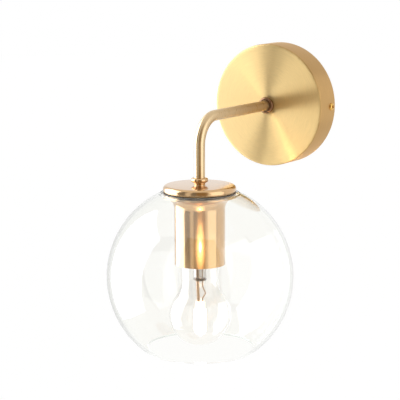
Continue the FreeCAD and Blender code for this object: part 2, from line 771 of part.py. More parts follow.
def make_socket_cup():
    """A deep cup that flares to a flange under the glass and centres it with a spigot."""
    inside = "(holder_dia / 2 + cup_gap)"
    tube = f"({inside} + cup_wall)"
    rim = "(cap_dia / 2)"
    flare = f"({rim} - {tube})"
    edge = f"({WEB_UNDER} - flange_lip)"
    bend = f"({edge} - {flare})"
    web_meet = f"({rim} - sqrt(pow({flare} + cup_wall; 2) - pow({WEB_UNDER} - {bend}; 2)))"
    spigot = "(neck_hole_dia / 2 - spigot_play)"
    node("socket_cup", turned("socket_cup", "XZ", [
        (COLLAR_BORE, WEB_UNDER),
        (web_meet, WEB_UNDER, f"{flare} + cup_wall", "left"),
        (inside, bend),
        (inside, CUP_FOOT),
        (tube, CUP_FOOT),
        (tube, bend, flare, "right"),
        (rim, edge),
        (rim, FLANGE_TOP),
        (spigot, FLANGE_TOP),
        (spigot, f"{FLANGE_TOP} + spigot_height"),
        (f"{spigot} - cup_wall", f"{FLANGE_TOP} + spigot_height"),
        (f"{spigot} - cup_wall", FLANGE_TOP),
        (COLLAR_BORE, FLANGE_TOP),
    ]))


# ---------------------------------------------------------------- lampholder


def make_lampholder():
    """A two-part moulded body round a ceramic insert."""
    rim, wall = "holder_dia / 2", "holder_wall"
    inside = f"({rim} - {wall})"
    bore = f"({HOLDER_SHELL_BORE} + holder_shell_wall + skirt_gap)"
    outer_round = f"(holder_dome_round + {wall})"
    shoulder = f"({HOLDER_TOP} - {outer_round})"
    node("lampholder_dome", turned("lampholder_dome", "XZ", [
        (COLLAR_BORE, TUBE_FOOT),
        ("holder_boss_dia / 2", TUBE_FOOT),
        ("holder_boss_dia / 2", f"{HOLDER_TOP} - {wall}"),
        (f"{rim} - {outer_round}", f"{HOLDER_TOP} - {wall}", "holder_dome_round", "right"),
        (inside, shoulder),
        (inside, DOME_FOOT),
        (rim, DOME_FOOT),
        (rim, shoulder, outer_round, "left"),
        (f"{rim} - {outer_round}", HOLDER_TOP),
        (COLLAR_BORE, HOLDER_TOP),
    ]))
    node("lampholder_skirt", turned("lampholder_skirt", "XZ", [
        (inside, DOME_FOOT),
        (inside, INSULATOR_UNDER),
        (f"{bore} - skirt_ledge", INSULATOR_UNDER),
        (f"{bore} - skirt_ledge", f"{INSULATOR_UNDER} - skirt_ledge"),
        (bore, f"{INSULATOR_UNDER} - skirt_ledge"),
        (bore, f"{DOME_FOOT} - skirt_height"),
        (f"{bore} + {wall}", f"{DOME_FOOT} - skirt_height"),
        (f"{bore} + {wall}", f"{INSULATOR_UNDER} - {wall}"),
        (rim, f"{INSULATOR_UNDER} - {wall}"),
        (rim, DOME_FOOT),
    ]))
    disc = rod("insert_disc", f"2 * ({inside} - insulator_play)", "insulator_thickness",
               ("0", LAMP_AXIS, INSULATOR_UNDER))
    holes = [rod(f"insert_hole_{side}", TERMINAL_PIN, "insulator_thickness + 2",
                 (f"{sign} * {TERMINAL_MIDDLE}", LAMP_AXIS, f"{INSULATOR_UNDER} - 1"))
             for side, sign in SIDES]
    node("lampholder_insulator", cut("insert", disc, *holes))


SIDES = (("left", "-1"), ("right", "1"))
HOLDER_SHELL_BORE = "(shell_dia / 2 + lamp_play)"
TERMINAL_MIDDLE = "(terminal_x + terminal_width / 2)"
TERMINAL_PIN = "(terminal_screw_dia + 2 * screw_play)"
WIRE_END_LEVEL = f"({DOME_FOOT} + terminal_height / 2)"


def make_lampholder_terminals():
    """Two brass blocks on the insert, each with a screw down through it."""
    blocks, screws = [], []
    for side, sign in SIDES:
        middle = f"{sign} * {TERMINAL_MIDDLE}"
        blank = block(f"{side}_terminal_blank",
                      ("terminal_width", "terminal_length", "terminal_height"),
                      (f"{middle} - terminal_width / 2",
                       f"{LAMP_AXIS} - terminal_length / 2", DOME_FOOT))
        hole = rod(f"{side}_terminal_hole", TERMINAL_PIN, "terminal_height + 2",
                   (middle, LAMP_AXIS, f"{DOME_FOOT} - 1"))
        blocks.append(cut(f"{side}_terminal", blank, hole))
        pin = rod(f"{side}_pin", "terminal_screw_dia",
                  "terminal_height + insulator_thickness / 2",
                  (middle, LAMP_AXIS, f"{DOME_FOOT} - insulator_thickness / 2"))
        seat = f"{DOME_FOOT} + terminal_height"
        head = rod(f"{side}_pin_head", "pin_head_dia", "pin_head_height",
                   (middle, LAMP_AXIS, seat))
        slit = block(f"{side}_pin_slit", ("slit_width", "pin_head_dia", "2 * slit_depth"),
                     (f"{middle} - slit_width / 2", f"{LAMP_AXIS} - pin_head_dia / 2",
                      f"{seat} + pin_head_height - slit_depth"))
        screws.append(cut(f"{side}_terminal_screw", fuse(f"{side}_bolt", pin, head), slit))
    node("lampholder_terminals", group("terminals", blocks))
    node("lampholder_terminal_screws", group("terminal_pins", screws))


def make_lampholder_contacts():
    """The screw shell, drawn with plain ribs, and the sprung tongue above the lamp's tip."""
    bore, wall = HOLDER_SHELL_BORE, "holder_shell_wall"
    foot = f"({INSULATOR_UNDER} - holder_shell_height)"
    node("lampholder_screw_shell", turned("lampholder_screw_shell", "XZ", [
        (f"{bore} - holder_shell_lip", INSULATOR_UNDER),
        (f"{bore} - holder_shell_lip", f"{INSULATOR_UNDER} - {wall}"),
        (bore, f"{INSULATOR_UNDER} - {wall}"),
        (bore, foot),
        (f"{bore} + {wall}", foot),
        (f"{bore} + {wall}", INSULATOR_UNDER),
    ]))
    tip = f"({LAMP_TIP} + contact_gap)"
    seat = block("tongue_seat", ("contact_reach / 2", "contact_width", "contact_thickness"),
                 ("-contact_reach", f"{LAMP_AXIS} - contact_width / 2",
                  f"{INSULATOR_UNDER} - contact_thickness"))
    post = block("tongue_post",
                 ("contact_thickness", "contact_width", f"{INSULATOR_UNDER} - {tip}"),
                 ("-contact_reach", f"{LAMP_AXIS} - contact_width / 2", tip))
    tongue = block("tongue_tip",
                   ("contact_reach + contact_width / 2", "contact_width",
                    "contact_thickness"),
                   ("-contact_reach", f"{LAMP_AXIS} - contact_width / 2", tip))
    node("lampholder_centre_contact", fuse("tongue", seat, post, tongue))


# ---------------------------------------------------------------- wires


def make_wires():
    """Two wires through the arm and one from the plate to the strap."""
    dia, bend = value("wire_dia"), value("wire_bend")
    back, reach, turn = value(TUBE_BACK), value("arm_reach"), value("arm_bend")
    level, end = -value("wire_level"), value(WIRE_END_LEVEL)
    for label, sign, pole in (("live_wire", 1, "pole_pitch"), ("neutral_wire", -1,
                                                              "-pole_pitch")):
        offset, up = sign * value("wire_offset"), value(pole)
        behind = route([
            V(value(SCREW_ROWS[0][1]) + value("terminal_screw_dia") / 2, level, up),
            V(offset, level, up),
            V(offset, level, 0),
            V(offset, back, 0),
        ], bend)
        arm = [
            Part.makeLine(V(offset, back, 0), V(offset, turn - reach, 0)),
            Part.Arc(V(offset, turn - reach, 0),
                     V(offset, turn * (1 - math.sqrt(0.5)) - reach,
                       -turn * (1 - math.sqrt(0.5))),
                     V(offset, -reach, -turn)).toShape(),
        ]
        below = route([
            V(offset, -reach, -turn),
            V(offset, -reach, end),
            V(sign * value("terminal_x"), -reach, end),
        ], bend)
        path = Part.Wire(behind.Edges + arm + below.Edges)
        feature(label, wire_solid(path, dia))
    tag_level = value(TAG_INSIDE) + dia / 2
    strap_level = -value("strap_thickness") - dia / 2
    turn_x = -value(EARTH_TURN)
    path = route([
        V(-value("tag_dia") / 2 - 1, tag_level, 0),
        V(turn_x, tag_level, 0),
        V(turn_x, strap_level, 0),
        V(-value(EARTH_END), strap_level, 0),
    ], value("earth_bend"))
    feature("earth_wire", wire_solid(path, dia))


# ---------------------------------------------------------------- lamp


def make_lamp_cap():
    """The lamp's contact, its black insulator and its ribbed screw shell."""
    tip_under = f"({LAMP_TIP} - tip_height)"
    node("bulb_contact", turned("bulb_contact", "XZ", [
        ("0", LAMP_TIP),
        ("0", tip_under),
        ("tip_dia / 2", tip_under),
        ("tip_dia / 2", f"{LAMP_TIP} - tip_height / 2"),
        ("tip_dia / 2 - tip_height / 2", LAMP_TIP),
    ]))
    inside = "(shell_dia / 2 - shell_rib - shell_wall)"
    node("bulb_insulator", turned("bulb_insulator", "XZ", [
        ("0", tip_under),
        ("0", SHELL_TOP),
        (f"{inside} + shell_wall", SHELL_TOP),
        ("tip_dia / 2 + 1", tip_under),
    ]))
    root, crest = f"({inside} + shell_wall)", "(shell_dia / 2)"
    outline = [(f"{inside} - shell_wall", f"{SHELL_TOP} - shell_wall"),
               (inside, f"{SHELL_TOP} - shell_wall"),
               (inside, f"{SHELL_FOOT} + lamp_root_height"),
               (f"{crest} - shell_wall", f"{SHELL_FOOT} + lamp_root_height"),
               (f"{crest} - shell_wall", SHELL_FOOT),
               (crest, SHELL_FOOT),
               (crest, f"{SHELL_FOOT} + lamp_root_height + shell_wall"),
               (root, f"{SHELL_FOOT} + lamp_root_height + shell_wall")]
    collar = f"({SHELL_FOOT} + lamp_root_height + shell_wall)"
    ribs = int(value(f"({SHELL_TOP} - {collar}) / thread_pitch"))
    for index in range(ribs):
        low = f"({collar} + {index + 0.15} * thread_pitch)"
        outline += [(root, low),
                    (crest, f"{low} + 0.3 * thread_pitch"),
                    (crest, f"{low} + 0.4 * thread_pitch"),
                    (root, f"{low} + 0.7 * thread_pitch")]
    outline += [(root, SHELL_TOP), (f"{inside} - shell_wall", SHELL_TOP)]
    node("bulb_screw_shell", turned("bulb_screw_shell", "XZ", outline))


def make_lamp_glass():
    """The clear envelope: a straight neck that blends into a round bulb."""
    wall, neck = "lamp_glass_wall", "(lamp_neck_dia / 2)"
    root = "(shell_dia / 2 - shell_wall - lamp_root_gap)"
    ball, blend = "(lamp_dia / 2)", "lamp_neck_blend"
    centre = f"({LAMP_FOOT} + {ball})"
    rise = f"sqrt(pow({ball} + {blend}; 2) - pow({neck} + {blend}; 2))"
    blend_level = f"({centre} + {rise})"
    share = f"{ball} / ({ball} + {blend})"
    meet = (f"({neck} + {blend}) * {share}", f"{centre} + {rise} * {share}")
    inner_share = f"({ball} - {wall}) / ({ball} + {blend})"
    inner_meet = (f"({neck} + {blend}) * {inner_share}", f"{centre} + {rise} * {inner_share}")
    top, shoulder = f"({SHELL_FOOT} + lamp_root_height)", f"({SHELL_FOOT} - lamp_shoulder)"
    node("bulb_glass", turned("bulb_glass", "XZ", [
        (root, top),
        (root, SHELL_FOOT),
        (neck, shoulder),
        (neck, blend_level, blend, "left"),
        (*meet, ball, "right"),
        (ball, centre, ball, "right"),
        ("0", LAMP_FOOT),
        ("0", f"{LAMP_FOOT} + {wall}", f"{ball} - {wall}", "left"),
        (f"{ball} - {wall}", centre, f"{ball} - {wall}", "left"),
        (*inner_meet, f"{blend} + {wall}", "right"),
        (f"{neck} - {wall}", blend_level),
        (f"{neck} - {wall}", shoulder),
        (f"{root} - {wall}", SHELL_FOOT),
        (f"{root} - {wall}", top),
    ]))
    stem, flare = "(stem_dia / 2)", f"({root} - {wall})"
    node("bulb_stem", turned("bulb_stem", "XZ", [
        (f"{flare} - stem_wall", top),
        (f"{flare} - stem_wall", SHELL_FOOT),
        (f"{stem} - stem_wall", shoulder),
        (f"{stem} - stem_wall", f"{STEM_FOOT} + stem_wall"),
        ("0", f"{STEM_FOOT} + stem_wall"),
        ("0", STEM_FOOT),
        (stem, STEM_FOOT),
        (stem, shoulder),
        (flare, SHELL_FOOT),
        (flare, top),
    ]))


def make_lamp_burner():
    """The halogen capsule in the bulb, its pinched neck, leads and filament."""
    radius, wall = "(capsule_dia / 2)", "capsule_wall"
    foot = f"({CAPSULE_TOP} - capsule_length)"
    shoulder = f"({CAPSULE_TOP} - pinch_height)"
    tube = turned("capsule_tube", "XZ", [
        ("0", f"{shoulder} - {wall}"),
        ("0", shoulder),
        (f"{radius} - {wall}", shoulder, wall, "right"),
        (radius, f"{shoulder} - {wall}"),
        (radius, f"{foot} + {radius}", radius, "right"),
        ("0", foot),
        ("0", f"{foot} + {wall}", f"{radius} - {wall}", "left"),
        (f"{radius} - {wall}", f"{foot} + {radius}"),
        (f"{radius} - {wall}", f"{shoulder} - {wall}"),
    ])
    pinch = block("pinch", ("pinch_width", "pinch_thickness", "pinch_height"),
                  ("0", "0", "0"))
    turn = "lead_angle"
    place(pinch, f"-pinch_width / 2 * cos({turn}) + pinch_thickness / 2 * sin({turn})",
          f"{LAMP_AXIS} - pinch_width / 2 * sin({turn}) - pinch_thickness / 2 * cos({turn})",
          shoulder, V(0, 0, 1), turn)
    node("bulb_capsule", fuse("capsule", tube, pinch))
    angle = math.radians(value("lead_angle"))
    along = V(math.cos(angle), math.sin(angle), 0)
    axis = V(0, value(LAMP_AXIS), 0)
    spread, top, low = value("lead_spread"), value(STEM_FOOT), value(CAPSULE_TOP)
    thick = Part.makeCylinder(value("lead_dia") / 2, top - low,
                              axis - along * spread + V(0, 0, low))
    hook = route([
        axis + along * spread + V(0, 0, top),
        axis + along * spread + V(0, 0, top - value("hook_start")),
        axis + along * value("hook_reach") + V(0, 0, top - value("hook_knee")),
        axis + along * spread + V(0, 0, low + value("hook_end")),
        axis + along * spread + V(0, 0, low),
    ], 2 * value("lead_hook_dia"))
    feature("bulb_lead_wires",
            Part.makeCompound([thick, wire_solid(hook, value("lead_hook_dia"))]))
    coil, inside = "(filament_dia / 2)", "(filament_dia / 2 - filament_wall)"
    top = f"({shoulder} - {wall})"
    node("bulb_filament", turned("bulb_filament", "XZ", [
        (inside, top),
        (inside, f"{top} - filament_length"),
        (coil, f"{top} - filament_length"),
        (coil, top),
    ]))


# ---------------------------------------------------------------- the whole lamp


def check_objects():
    """Stop if any object failed or any piece has no valid solid."""
    for item in doc.Objects:
        if "Invalid" in item.State or "Error" in item.State:
            raise RuntimeError(f"{item.Name} failed: {item.State}")
    for item in NODES:
        if item.Shape.isNull() or not item.Shape.isValid() or not item.Shape.Solids:
            raise RuntimeError(f"{item.Label} is not a valid solid")


def write_pieces():
    """Write one STEP file for each piece."""
    os.makedirs("parts", exist_ok=True)
    for item in NODES:
        item.Shape.exportStep(f"parts/{item.Label}.step")
        box = item.Shape.BoundBox
        print(f"{item.Label:28s} {len(item.Shape.Solids):2d} solids"
              f"  x {box.XMin:7.1f} {box.XMax:7.1f}  y {box.YMin:7.1f} {box.YMax:7.1f}"
              f"  z {box.ZMin:7.1f} {box.ZMax:7.1f}")


make_wall_bracket()
make_canopy()
make_canopy_screws()
make_terminal_block()
make_terminal_screws()
make_block_screw()
make_earth_parts()
make_arm_tube()
make_collars()
make_washers()
make_nut("rear_nut", ("0", REAR_WASHER_INSIDE, "0"), "Y")
make_nut("cup_nut", ("0", LAMP_AXIS, CUP_NUT_UNDER), "Z")
make_shade_cap()
make_gaskets()
make_glass_globe()
make_socket_cup()
make_lampholder()
make_lampholder_terminals()
make_lampholder_contacts()
make_wires()
make_lamp_cap()
make_lamp_glass()
make_lamp_burner()
doc.recompute()
check_objects()
write_pieces()
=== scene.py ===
"""Looks of a globe wall sconce: a round brushed brass plate, a bent brass arm, a polished cap and
socket cup, a clear blown globe that is open below, and a screw-in lamp that is lit.

Metres. The origin is the centre of the plate at the wall, +Z is up and the light stands out from
the wall along -Y. Each piece takes its place from the frame, so the object stays one thing.
"""
import math
import bmesh
import bpy
from bpy.props import FloatProperty, FloatVectorProperty, IntProperty
from mathutils import Matrix, Vector


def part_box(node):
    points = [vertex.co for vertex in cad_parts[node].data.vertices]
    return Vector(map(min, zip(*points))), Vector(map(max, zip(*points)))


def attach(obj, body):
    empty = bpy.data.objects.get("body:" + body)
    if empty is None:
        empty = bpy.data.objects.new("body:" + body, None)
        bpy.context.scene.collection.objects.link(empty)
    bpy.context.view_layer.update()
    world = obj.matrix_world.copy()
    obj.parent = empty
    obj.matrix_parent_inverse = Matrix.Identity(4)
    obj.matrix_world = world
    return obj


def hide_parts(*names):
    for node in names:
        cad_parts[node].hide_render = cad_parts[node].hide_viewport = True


bl_info = {
    "name": "Globe wall sconce",
    "version": (1, 0, 0),
    "blender": (4, 5, 0),
    "location": "View3D > Sidebar > Sconce",
    "description": "A brass wall light with a clear glass globe and a lit screw-in lamp",
    "category": "Add Mesh",
}

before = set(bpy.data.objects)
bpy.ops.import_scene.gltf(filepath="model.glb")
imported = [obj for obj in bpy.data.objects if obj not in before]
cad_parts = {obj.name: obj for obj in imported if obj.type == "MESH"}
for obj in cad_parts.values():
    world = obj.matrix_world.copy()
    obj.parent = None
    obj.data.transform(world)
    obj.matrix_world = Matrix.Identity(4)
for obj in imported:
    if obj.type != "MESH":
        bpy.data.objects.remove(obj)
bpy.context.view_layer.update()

MM = 0.001


def linear(code):
    """An sRGB hex colour as linear red, green, blue and alpha."""
    parts = [int(code[i:i + 2], 16) / 255 for i in (1, 3, 5)]
    return (*(c / 12.92 if c <= 0.04045 else ((c + 0.055) / 1.055) ** 2.4 for c in parts), 1.0)


def low(node, axis):
    """The lowest coordinate of a node of the frame along x, y or z."""
    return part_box(node)[0]["xyz".index(axis)]


def high(node, axis):
    """The highest coordinate of a node of the frame along x, y or z."""
    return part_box(node)[1]["xyz".index(axis)]


LAMP_Y = (low("glass_globe", "y") + high("glass_globe", "y")) / 2


def on_axis(height):
    """A point on the lamp's upright axis."""
    return Vector((0, LAMP_Y, height))


# ---------------------------------------------------------------- sizes and colours


def size(name, description, default):
    """A length that a user may change."""
    return FloatProperty(name=name, description=description, default=default, min=0, precision=5,
                         unit="LENGTH", subtype="DISTANCE")


def colour(name, description, code):
    """A colour that a user may change."""
    return FloatVectorProperty(name=name, description=description, default=linear(code), size=4,
                               min=0, max=1, subtype="COLOR")


class SconceSizes(bpy.types.PropertyGroup):
    """Walls, rounds and bends that the frame's boxes don't give."""

    plate_wall: size("Plate wall", "Sheet of the wall plate", 1.2 * MM)
    plate_round: size("Plate round", "Round between the plate's face and rim", 1.6 * MM)
    plate_hole: size("Plate hole", "Radius of the arm's hole", 5.1 * MM)
    plate_crown: size("Plate crown", "How far the spun face falls away at its edge", 0.9 * MM)
    ring_recess: size("Ring recess", "Depth of the step round the tube", 1.0 * MM)
    bend: size("Arm bend", "Radius of the arm's bend at its middle line", 27 * MM)
    tube_wall: size("Tube wall", "Wall of the arm tube", 1.25 * MM)
    arm_thread: size("Arm thread", "Radius over the threads at the arm's ends", 4.6 * MM)
    arm_thread_pitch: size("Arm thread pitch", "Pitch of those threads", 1 * MM)
    foot_height: size("Foot height", "Plain foot below the bead", 2.4 * MM)
    foot_radius: size("Foot radius", "Radius of that foot", 6.2 * MM)
    cap_wall: size("Cap wall", "Sheet of the shade cap", 1.3 * MM)
    cap_round: size("Cap round", "Round of the cap's shoulder", 3.7 * MM)
    cap_turn_in: size("Cap turn-in", "Round of the cap's lower edge", 2.6 * MM)
    cup_wall: size("Cup wall", "Sheet of the socket cup", 1.2 * MM)
    cup_lip: size("Cup lip", "Height of the flange's edge below its web", 0.6 * MM)
    cup_radius: size("Cup radius", "Outer radius of the cup's straight part", 24.35 * MM)
    glass_wall: size("Glass wall", "Thickness of the globe", 3 * MM)
    glass_round: size("Glass round", "Round where the globe meets its pad", 2.4 * MM)
    pad_thickness: size("Pad thickness", "Thickness of the globe's flat top", 2.5 * MM)
    pad_radius: size("Pad radius", "Where the flat top meets the ball", 38.3 * MM)
    neck_hole: size("Neck hole", "Radius of the hole in the globe's top", 21 * MM)
    mouth_radius: size("Mouth radius", "Middle of the globe's lower edge", 53 * MM)
    lamp_wall: size("Lamp wall", "Glass of the lamp", 0.8 * MM)
    lamp_neck: size("Lamp neck", "Radius of the lamp's neck", 17.8 * MM)
    lamp_blend: size("Lamp blend", "Hollow curve between neck and ball", 20 * MM)
    lamp_root: size("Lamp root", "Radius of the lamp glass inside its cap", 12.4 * MM)
    stem_wall: size("Stem wall", "Glass of the lamp's stem", 1.2 * MM)
    stem_radius: size("Stem radius", "Radius of that stem's foot", 6.3 * MM)
    capsule_radius: size("Capsule radius", "Radius of the quartz capsule", 6 * MM)
    capsule_pinch: size("Capsule pinch", "Height of the capsule's flat end", 7 * MM)
    thick_lead: size("Thick lead", "Radius of the lead that carries the capsule", 1.5 * MM)
    thin_lead: size("Thin lead", "Radius of the kinked lead", 0.6 * MM)
    lead_spread: size("Lead spread", "Distance of each lead from the lamp's axis", 2.4 * MM)
    coil_radius: size("Coil radius", "Radius of the filament's coil", 0.8 * MM)
    coil_pitch: size("Coil pitch", "Distance between turns of the filament", 0.45 * MM)
    thread_pitch: size("Thread pitch", "Pitch of the lamp's screw cap", 3.629 * MM)
    segments: IntProperty(name="Segments", description="Sides of a small turned piece",
                          default=144, min=24)


class SconceColours(bpy.types.PropertyGroup):
    """The finishes' own colours, and the plate rim's, which is the face's brass painted darker as
    shade.
    """

    plate: colour("Plate brass", "Brushed brass of the wall plate", "#dfbd7c")
    # The rim is the face's spun sheet. Its darker brass is painted shade on the rim's sides.
    plate_rim_shaded: colour("Plate rim brass", "Brushed brass of the plate's rim", "#c8a066")
    polished: colour("Polished brass", "Cap, cup and bead", "#d3ac7c")
    arm: colour("Arm brass", "Satin brass tube", "#d9bd92")
    bronze: colour("Dark bronze", "Ring at the plate", "#7d5a3c")
    screw: colour("Screw brass", "Turned brass screws", "#dcae5c")
    steel: colour("Zinc", "Zinc-plated steel", "#b9babb")
    stamped: colour("Stamped brass", "Terminals and contacts", "#cfa95f")
    porcelain: colour("Porcelain", "Lampholder", "#ece8df")
    nylon: colour("Nylon", "Terminal block", "#e6e4da")


class SconceLight(bpy.types.PropertyGroup):
    """The studio's levels, where 1 shows a colour about as it is written."""

    left_level: FloatProperty(name="Left softbox", description="Brightness of the left softbox",
                              default=4.0, min=0)
    right_level: FloatProperty(name="Right softbox", description="Brightness of the right softbox",
                               default=1.0, min=0)
    fill_level: FloatProperty(name="Left fill", description="Left softbox for matt surfaces",
                              default=1.0, min=0)
    room_level: FloatProperty(name="Room", description="Brightness of the room for matt surfaces",
                              default=0.75, min=0)
    lamp_level: FloatProperty(name="Lamp", description="Brightness of the lit capsule",
                              default=6.0, min=0)


# ---------------------------------------------------------------- nodes


def feed(tree, node, inputs):
    """Give a node's inputs plain values, sockets, or nodes that stand for their first output."""
    for name, value in inputs.items():
        if isinstance(value, bpy.types.Node):
            value = value.outputs[0]
        if isinstance(value, bpy.types.NodeSocket):
            tree.links.new(value, node.inputs[name])
        else:
            node.inputs[name].default_value = value


def add(tree, kind, inputs=None, **settings):
    """Add a node with its settings and links."""
    node = tree.nodes.new(kind)
    for name, value in settings.items():
        setattr(node, name, value)
    feed(tree, node, inputs or {})
    return node


def new_tree(name, **inputs):
    """An empty Geometry Nodes tree with named inputs, and the sockets that give them."""
    tree = bpy.data.node_groups.new(name, "GeometryNodeTree")
    tree.interface.new_socket("Geometry", in_out="INPUT", socket_type="NodeSocketGeometry")
    for label, kind in inputs.items():
        tree.interface.new_socket(label, in_out="INPUT", socket_type="NodeSocket" + kind)
    tree.interface.new_socket("Geometry", in_out="OUTPUT", socket_type="NodeSocketGeometry")
    return tree, add(tree, "NodeGroupInput").outputs


def close_tree(tree, geometry, material):
    """End a tree with smooth faces, real copies and a material."""
    smooth = add(tree, "GeometryNodeSetShadeSmooth", {"Geometry": geometry})
    real = add(tree, "GeometryNodeRealizeInstances", {"Geometry": smooth})
    painted = add(tree, "GeometryNodeSetMaterial", {"Geometry": real, "Material": material})
    add(tree, "NodeGroupOutput", {"Geometry": painted})
    return tree


def helix_tree():
    """A wire wound on a cylinder: a coil, or the ridge of a screw thread."""
    tree, given = new_tree("wound_wire", Coil_radius="Float", Pitch="Float", Turns="Float",
                           Wire_radius="Float", Sides="Int", Material="Material")
    height = add(tree, "ShaderNodeMath", {0: given["Pitch"], 1: given["Turns"]},
                 operation="MULTIPLY")
    spiral = add(tree, "GeometryNodeCurveSpiral", {
        "Resolution": 40, "Rotations": given["Turns"], "Start Radius": given["Coil_radius"],
        "End Radius": given["Coil_radius"], "Height": height})
    ring = add(tree, "GeometryNodeCurvePrimitiveCircle", {
        "Resolution": given["Sides"], "Radius": given["Wire_radius"]})
    wire = add(tree, "GeometryNodeCurveToMesh", {
        "Curve": spiral, "Profile Curve": ring, "Fill Caps": True})
    return close_tree(tree, wire, given["Material"])


def bent_rod_tree():
    """A rod or tube along a line of points whose corners are rounded to one radius.

    The way round and along is kept on the surface, so that a finish can follow the drawn metal.
    """
    tree, given = new_tree("bent_rod", Bend="Float", Rod_radius="Float", Steps="Int", Sides="Int",
                           Caps="Bool", Material="Material")
    path = add(tree, "GeometryNodeMeshToCurve", {"Mesh": given["Geometry"]})
    bent = add(tree, "GeometryNodeFilletCurve", {
        "Curve": path, "Count": given["Steps"], "Radius": given["Bend"]}, mode="POLY")
    along = add(tree, "GeometryNodeSplineParameter")
    marked = add(tree, "GeometryNodeStoreNamedAttribute", {
        "Geometry": bent, "Name": "along", "Value": along.outputs["Length"]},
        data_type="FLOAT")
    heading = add(tree, "GeometryNodeInputTangent")
    marked = add(tree, "GeometryNodeStoreNamedAttribute", {
        "Geometry": marked, "Name": "heading", "Value": heading}, data_type="FLOAT_VECTOR")
    ring = add(tree, "GeometryNodeCurvePrimitiveCircle", {
        "Resolution": given["Sides"], "Radius": given["Rod_radius"]})
    place = add(tree, "GeometryNodeInputPosition")
    around = add(tree, "GeometryNodeStoreNamedAttribute", {
        "Geometry": ring, "Name": "around", "Value": place}, data_type="FLOAT_VECTOR")
    rod = add(tree, "GeometryNodeCurveToMesh", {
        "Curve": marked, "Profile Curve": around, "Fill Caps": given["Caps"]})
    return close_tree(tree, rod, given["Material"])


def copies_tree():
    """Copies of one piece, turned about an axis through a centre."""
    tree, given = new_tree("copies_round_axis", Copies="Int", Centre="Vector", Axis="Vector",
                           Material="Material")
    back = add(tree, "ShaderNodeVectorMath", {0: given["Centre"], 1: (-1, -1, -1)},
               operation="MULTIPLY")
    moved = add(tree, "GeometryNodeTransform", {"Geometry": given["Geometry"], "Translation": back})
    spots = add(tree, "GeometryNodePoints", {"Count": given["Copies"], "Position": given["Centre"]})
    index = add(tree, "GeometryNodeInputIndex")
    share = add(tree, "ShaderNodeMath", {0: index, 1: given["Copies"]}, operation="DIVIDE")
    angle = add(tree, "ShaderNodeMath", {0: share, 1: 2 * math.pi}, operation="MULTIPLY")
    turn = add(tree, "FunctionNodeAxisAngleToRotation", {"Axis": given["Axis"], "Angle": angle})
    copies = add(tree, "GeometryNodeInstanceOnPoints", {
        "Points": spots, "Instance": moved, "Rotation": turn})
    return close_tree(tree, copies, given["Material"])


# ---------------------------------------------------------------- meshes


def new_object(name, data):
    """An object for a mesh, lamp or camera, linked to the scene."""
    item = bpy.data.objects.new(name, data)
    bpy.context.scene.collection.objects.link(item)
    return item


def tidy_mesh(mesh, sharp=38):
    """Merge doubles, turn every face outwards and keep only real edges sharp."""
    work = bmesh.new()
    work.from_mesh(mesh)
    bmesh.ops.remove_doubles(work, verts=work.verts, dist=0.001 * MM)
    bmesh.ops.recalc_face_normals(work, faces=work.faces)
    work.to_mesh(mesh)
    work.free()
    mesh.shade_smooth()
    mesh.set_sharp_from_angle(angle=math.radians(sharp))
    return mesh


def arc(across, along, radius, start, end, steps):
    """Points on an arc about a centre, from one angle to another in degrees."""
    angles = [math.radians(start + (end - start) * i / steps) for i in range(steps + 1)]
    return [(across + radius * math.cos(a), along + radius * math.sin(a)) for a in angles]


def rounded(corners, steps=7):
    """A closed outline whose corners, given as (across, along, radius), are rounded."""
    points = []
    for index, corner in enumerate(corners):
        here = Vector(corner[:2])
        radius = corner[2] if len(corner) > 2 else 0
        if not radius:
            points.append(tuple(here))
            continue
        back = (Vector(corners[index - 1][:2]) - here).normalized()
        on = (Vector(corners[(index + 1) % len(corners)][:2]) - here).normalized()
        half = back.angle(on) / 2
        first, last = here + back * radius / math.tan(half), here + on * radius / math.tan(half)
        centre = here + (back + on).normalized() * radius / math.sin(half)
        for step in range(steps + 1):
            turn = (first - centre).angle_signed(last - centre) * step / steps
            points.append(tuple(centre + Matrix.Rotation(-turn, 2) @ (first - centre)))
    return points


def six_sided(flat, angle):
    """The radius of a hexagon at an angle, from half its width across flats."""
    sector = math.radians(60)
    return flat / math.cos((angle + sector / 2) % sector - sector / 2)


def turned(name, outline, axis="Z", segments=None, sharp=38):
    """A closed outline of (across, along) turned about the arm's or the lamp's axis.

    A point given as (across, along, True) follows a hexagon instead of a circle.
    """
    count = segments or bpy.context.scene.sconce_sizes.segments
    places, rings = [], []
    for point in outline:
        across, along = point[:2]
        ring = []
        for step in range(1 if across < 1e-9 else count):
            angle = 2 * math.pi * step / count
            reach = six_sided(across, angle) if len(point) > 2 and across > 1e-9 else across
            u, v = reach * math.cos(angle), reach * math.sin(angle)
            ring.append(len(places))
            places.append((u, along, v) if axis == "Y" else (u, LAMP_Y + v, along))
        rings.append(ring)
    faces = []
    for a, b in zip(rings, rings[1:] + rings[:1]):
        if len(a) == len(b) == 1:
            continue
        for step in range(count):
            corners = [a[step % len(a)], a[(step + 1) % len(a)], b[(step + 1) % len(b)],
                       b[step % len(b)]]
            faces.append(list(dict.fromkeys(corners)))
    mesh = bpy.data.meshes.new(name)
    mesh.from_pydata(places, [], faces)
    return tidy_mesh(mesh, sharp)


def line_mesh(name, points):
    """An open line of points, as a path for a tree to follow."""
    mesh = bpy.data.meshes.new(name)
    mesh.from_pydata([tuple(p) for p in points], [(i, i + 1) for i in range(len(points) - 1)], [])
    return mesh


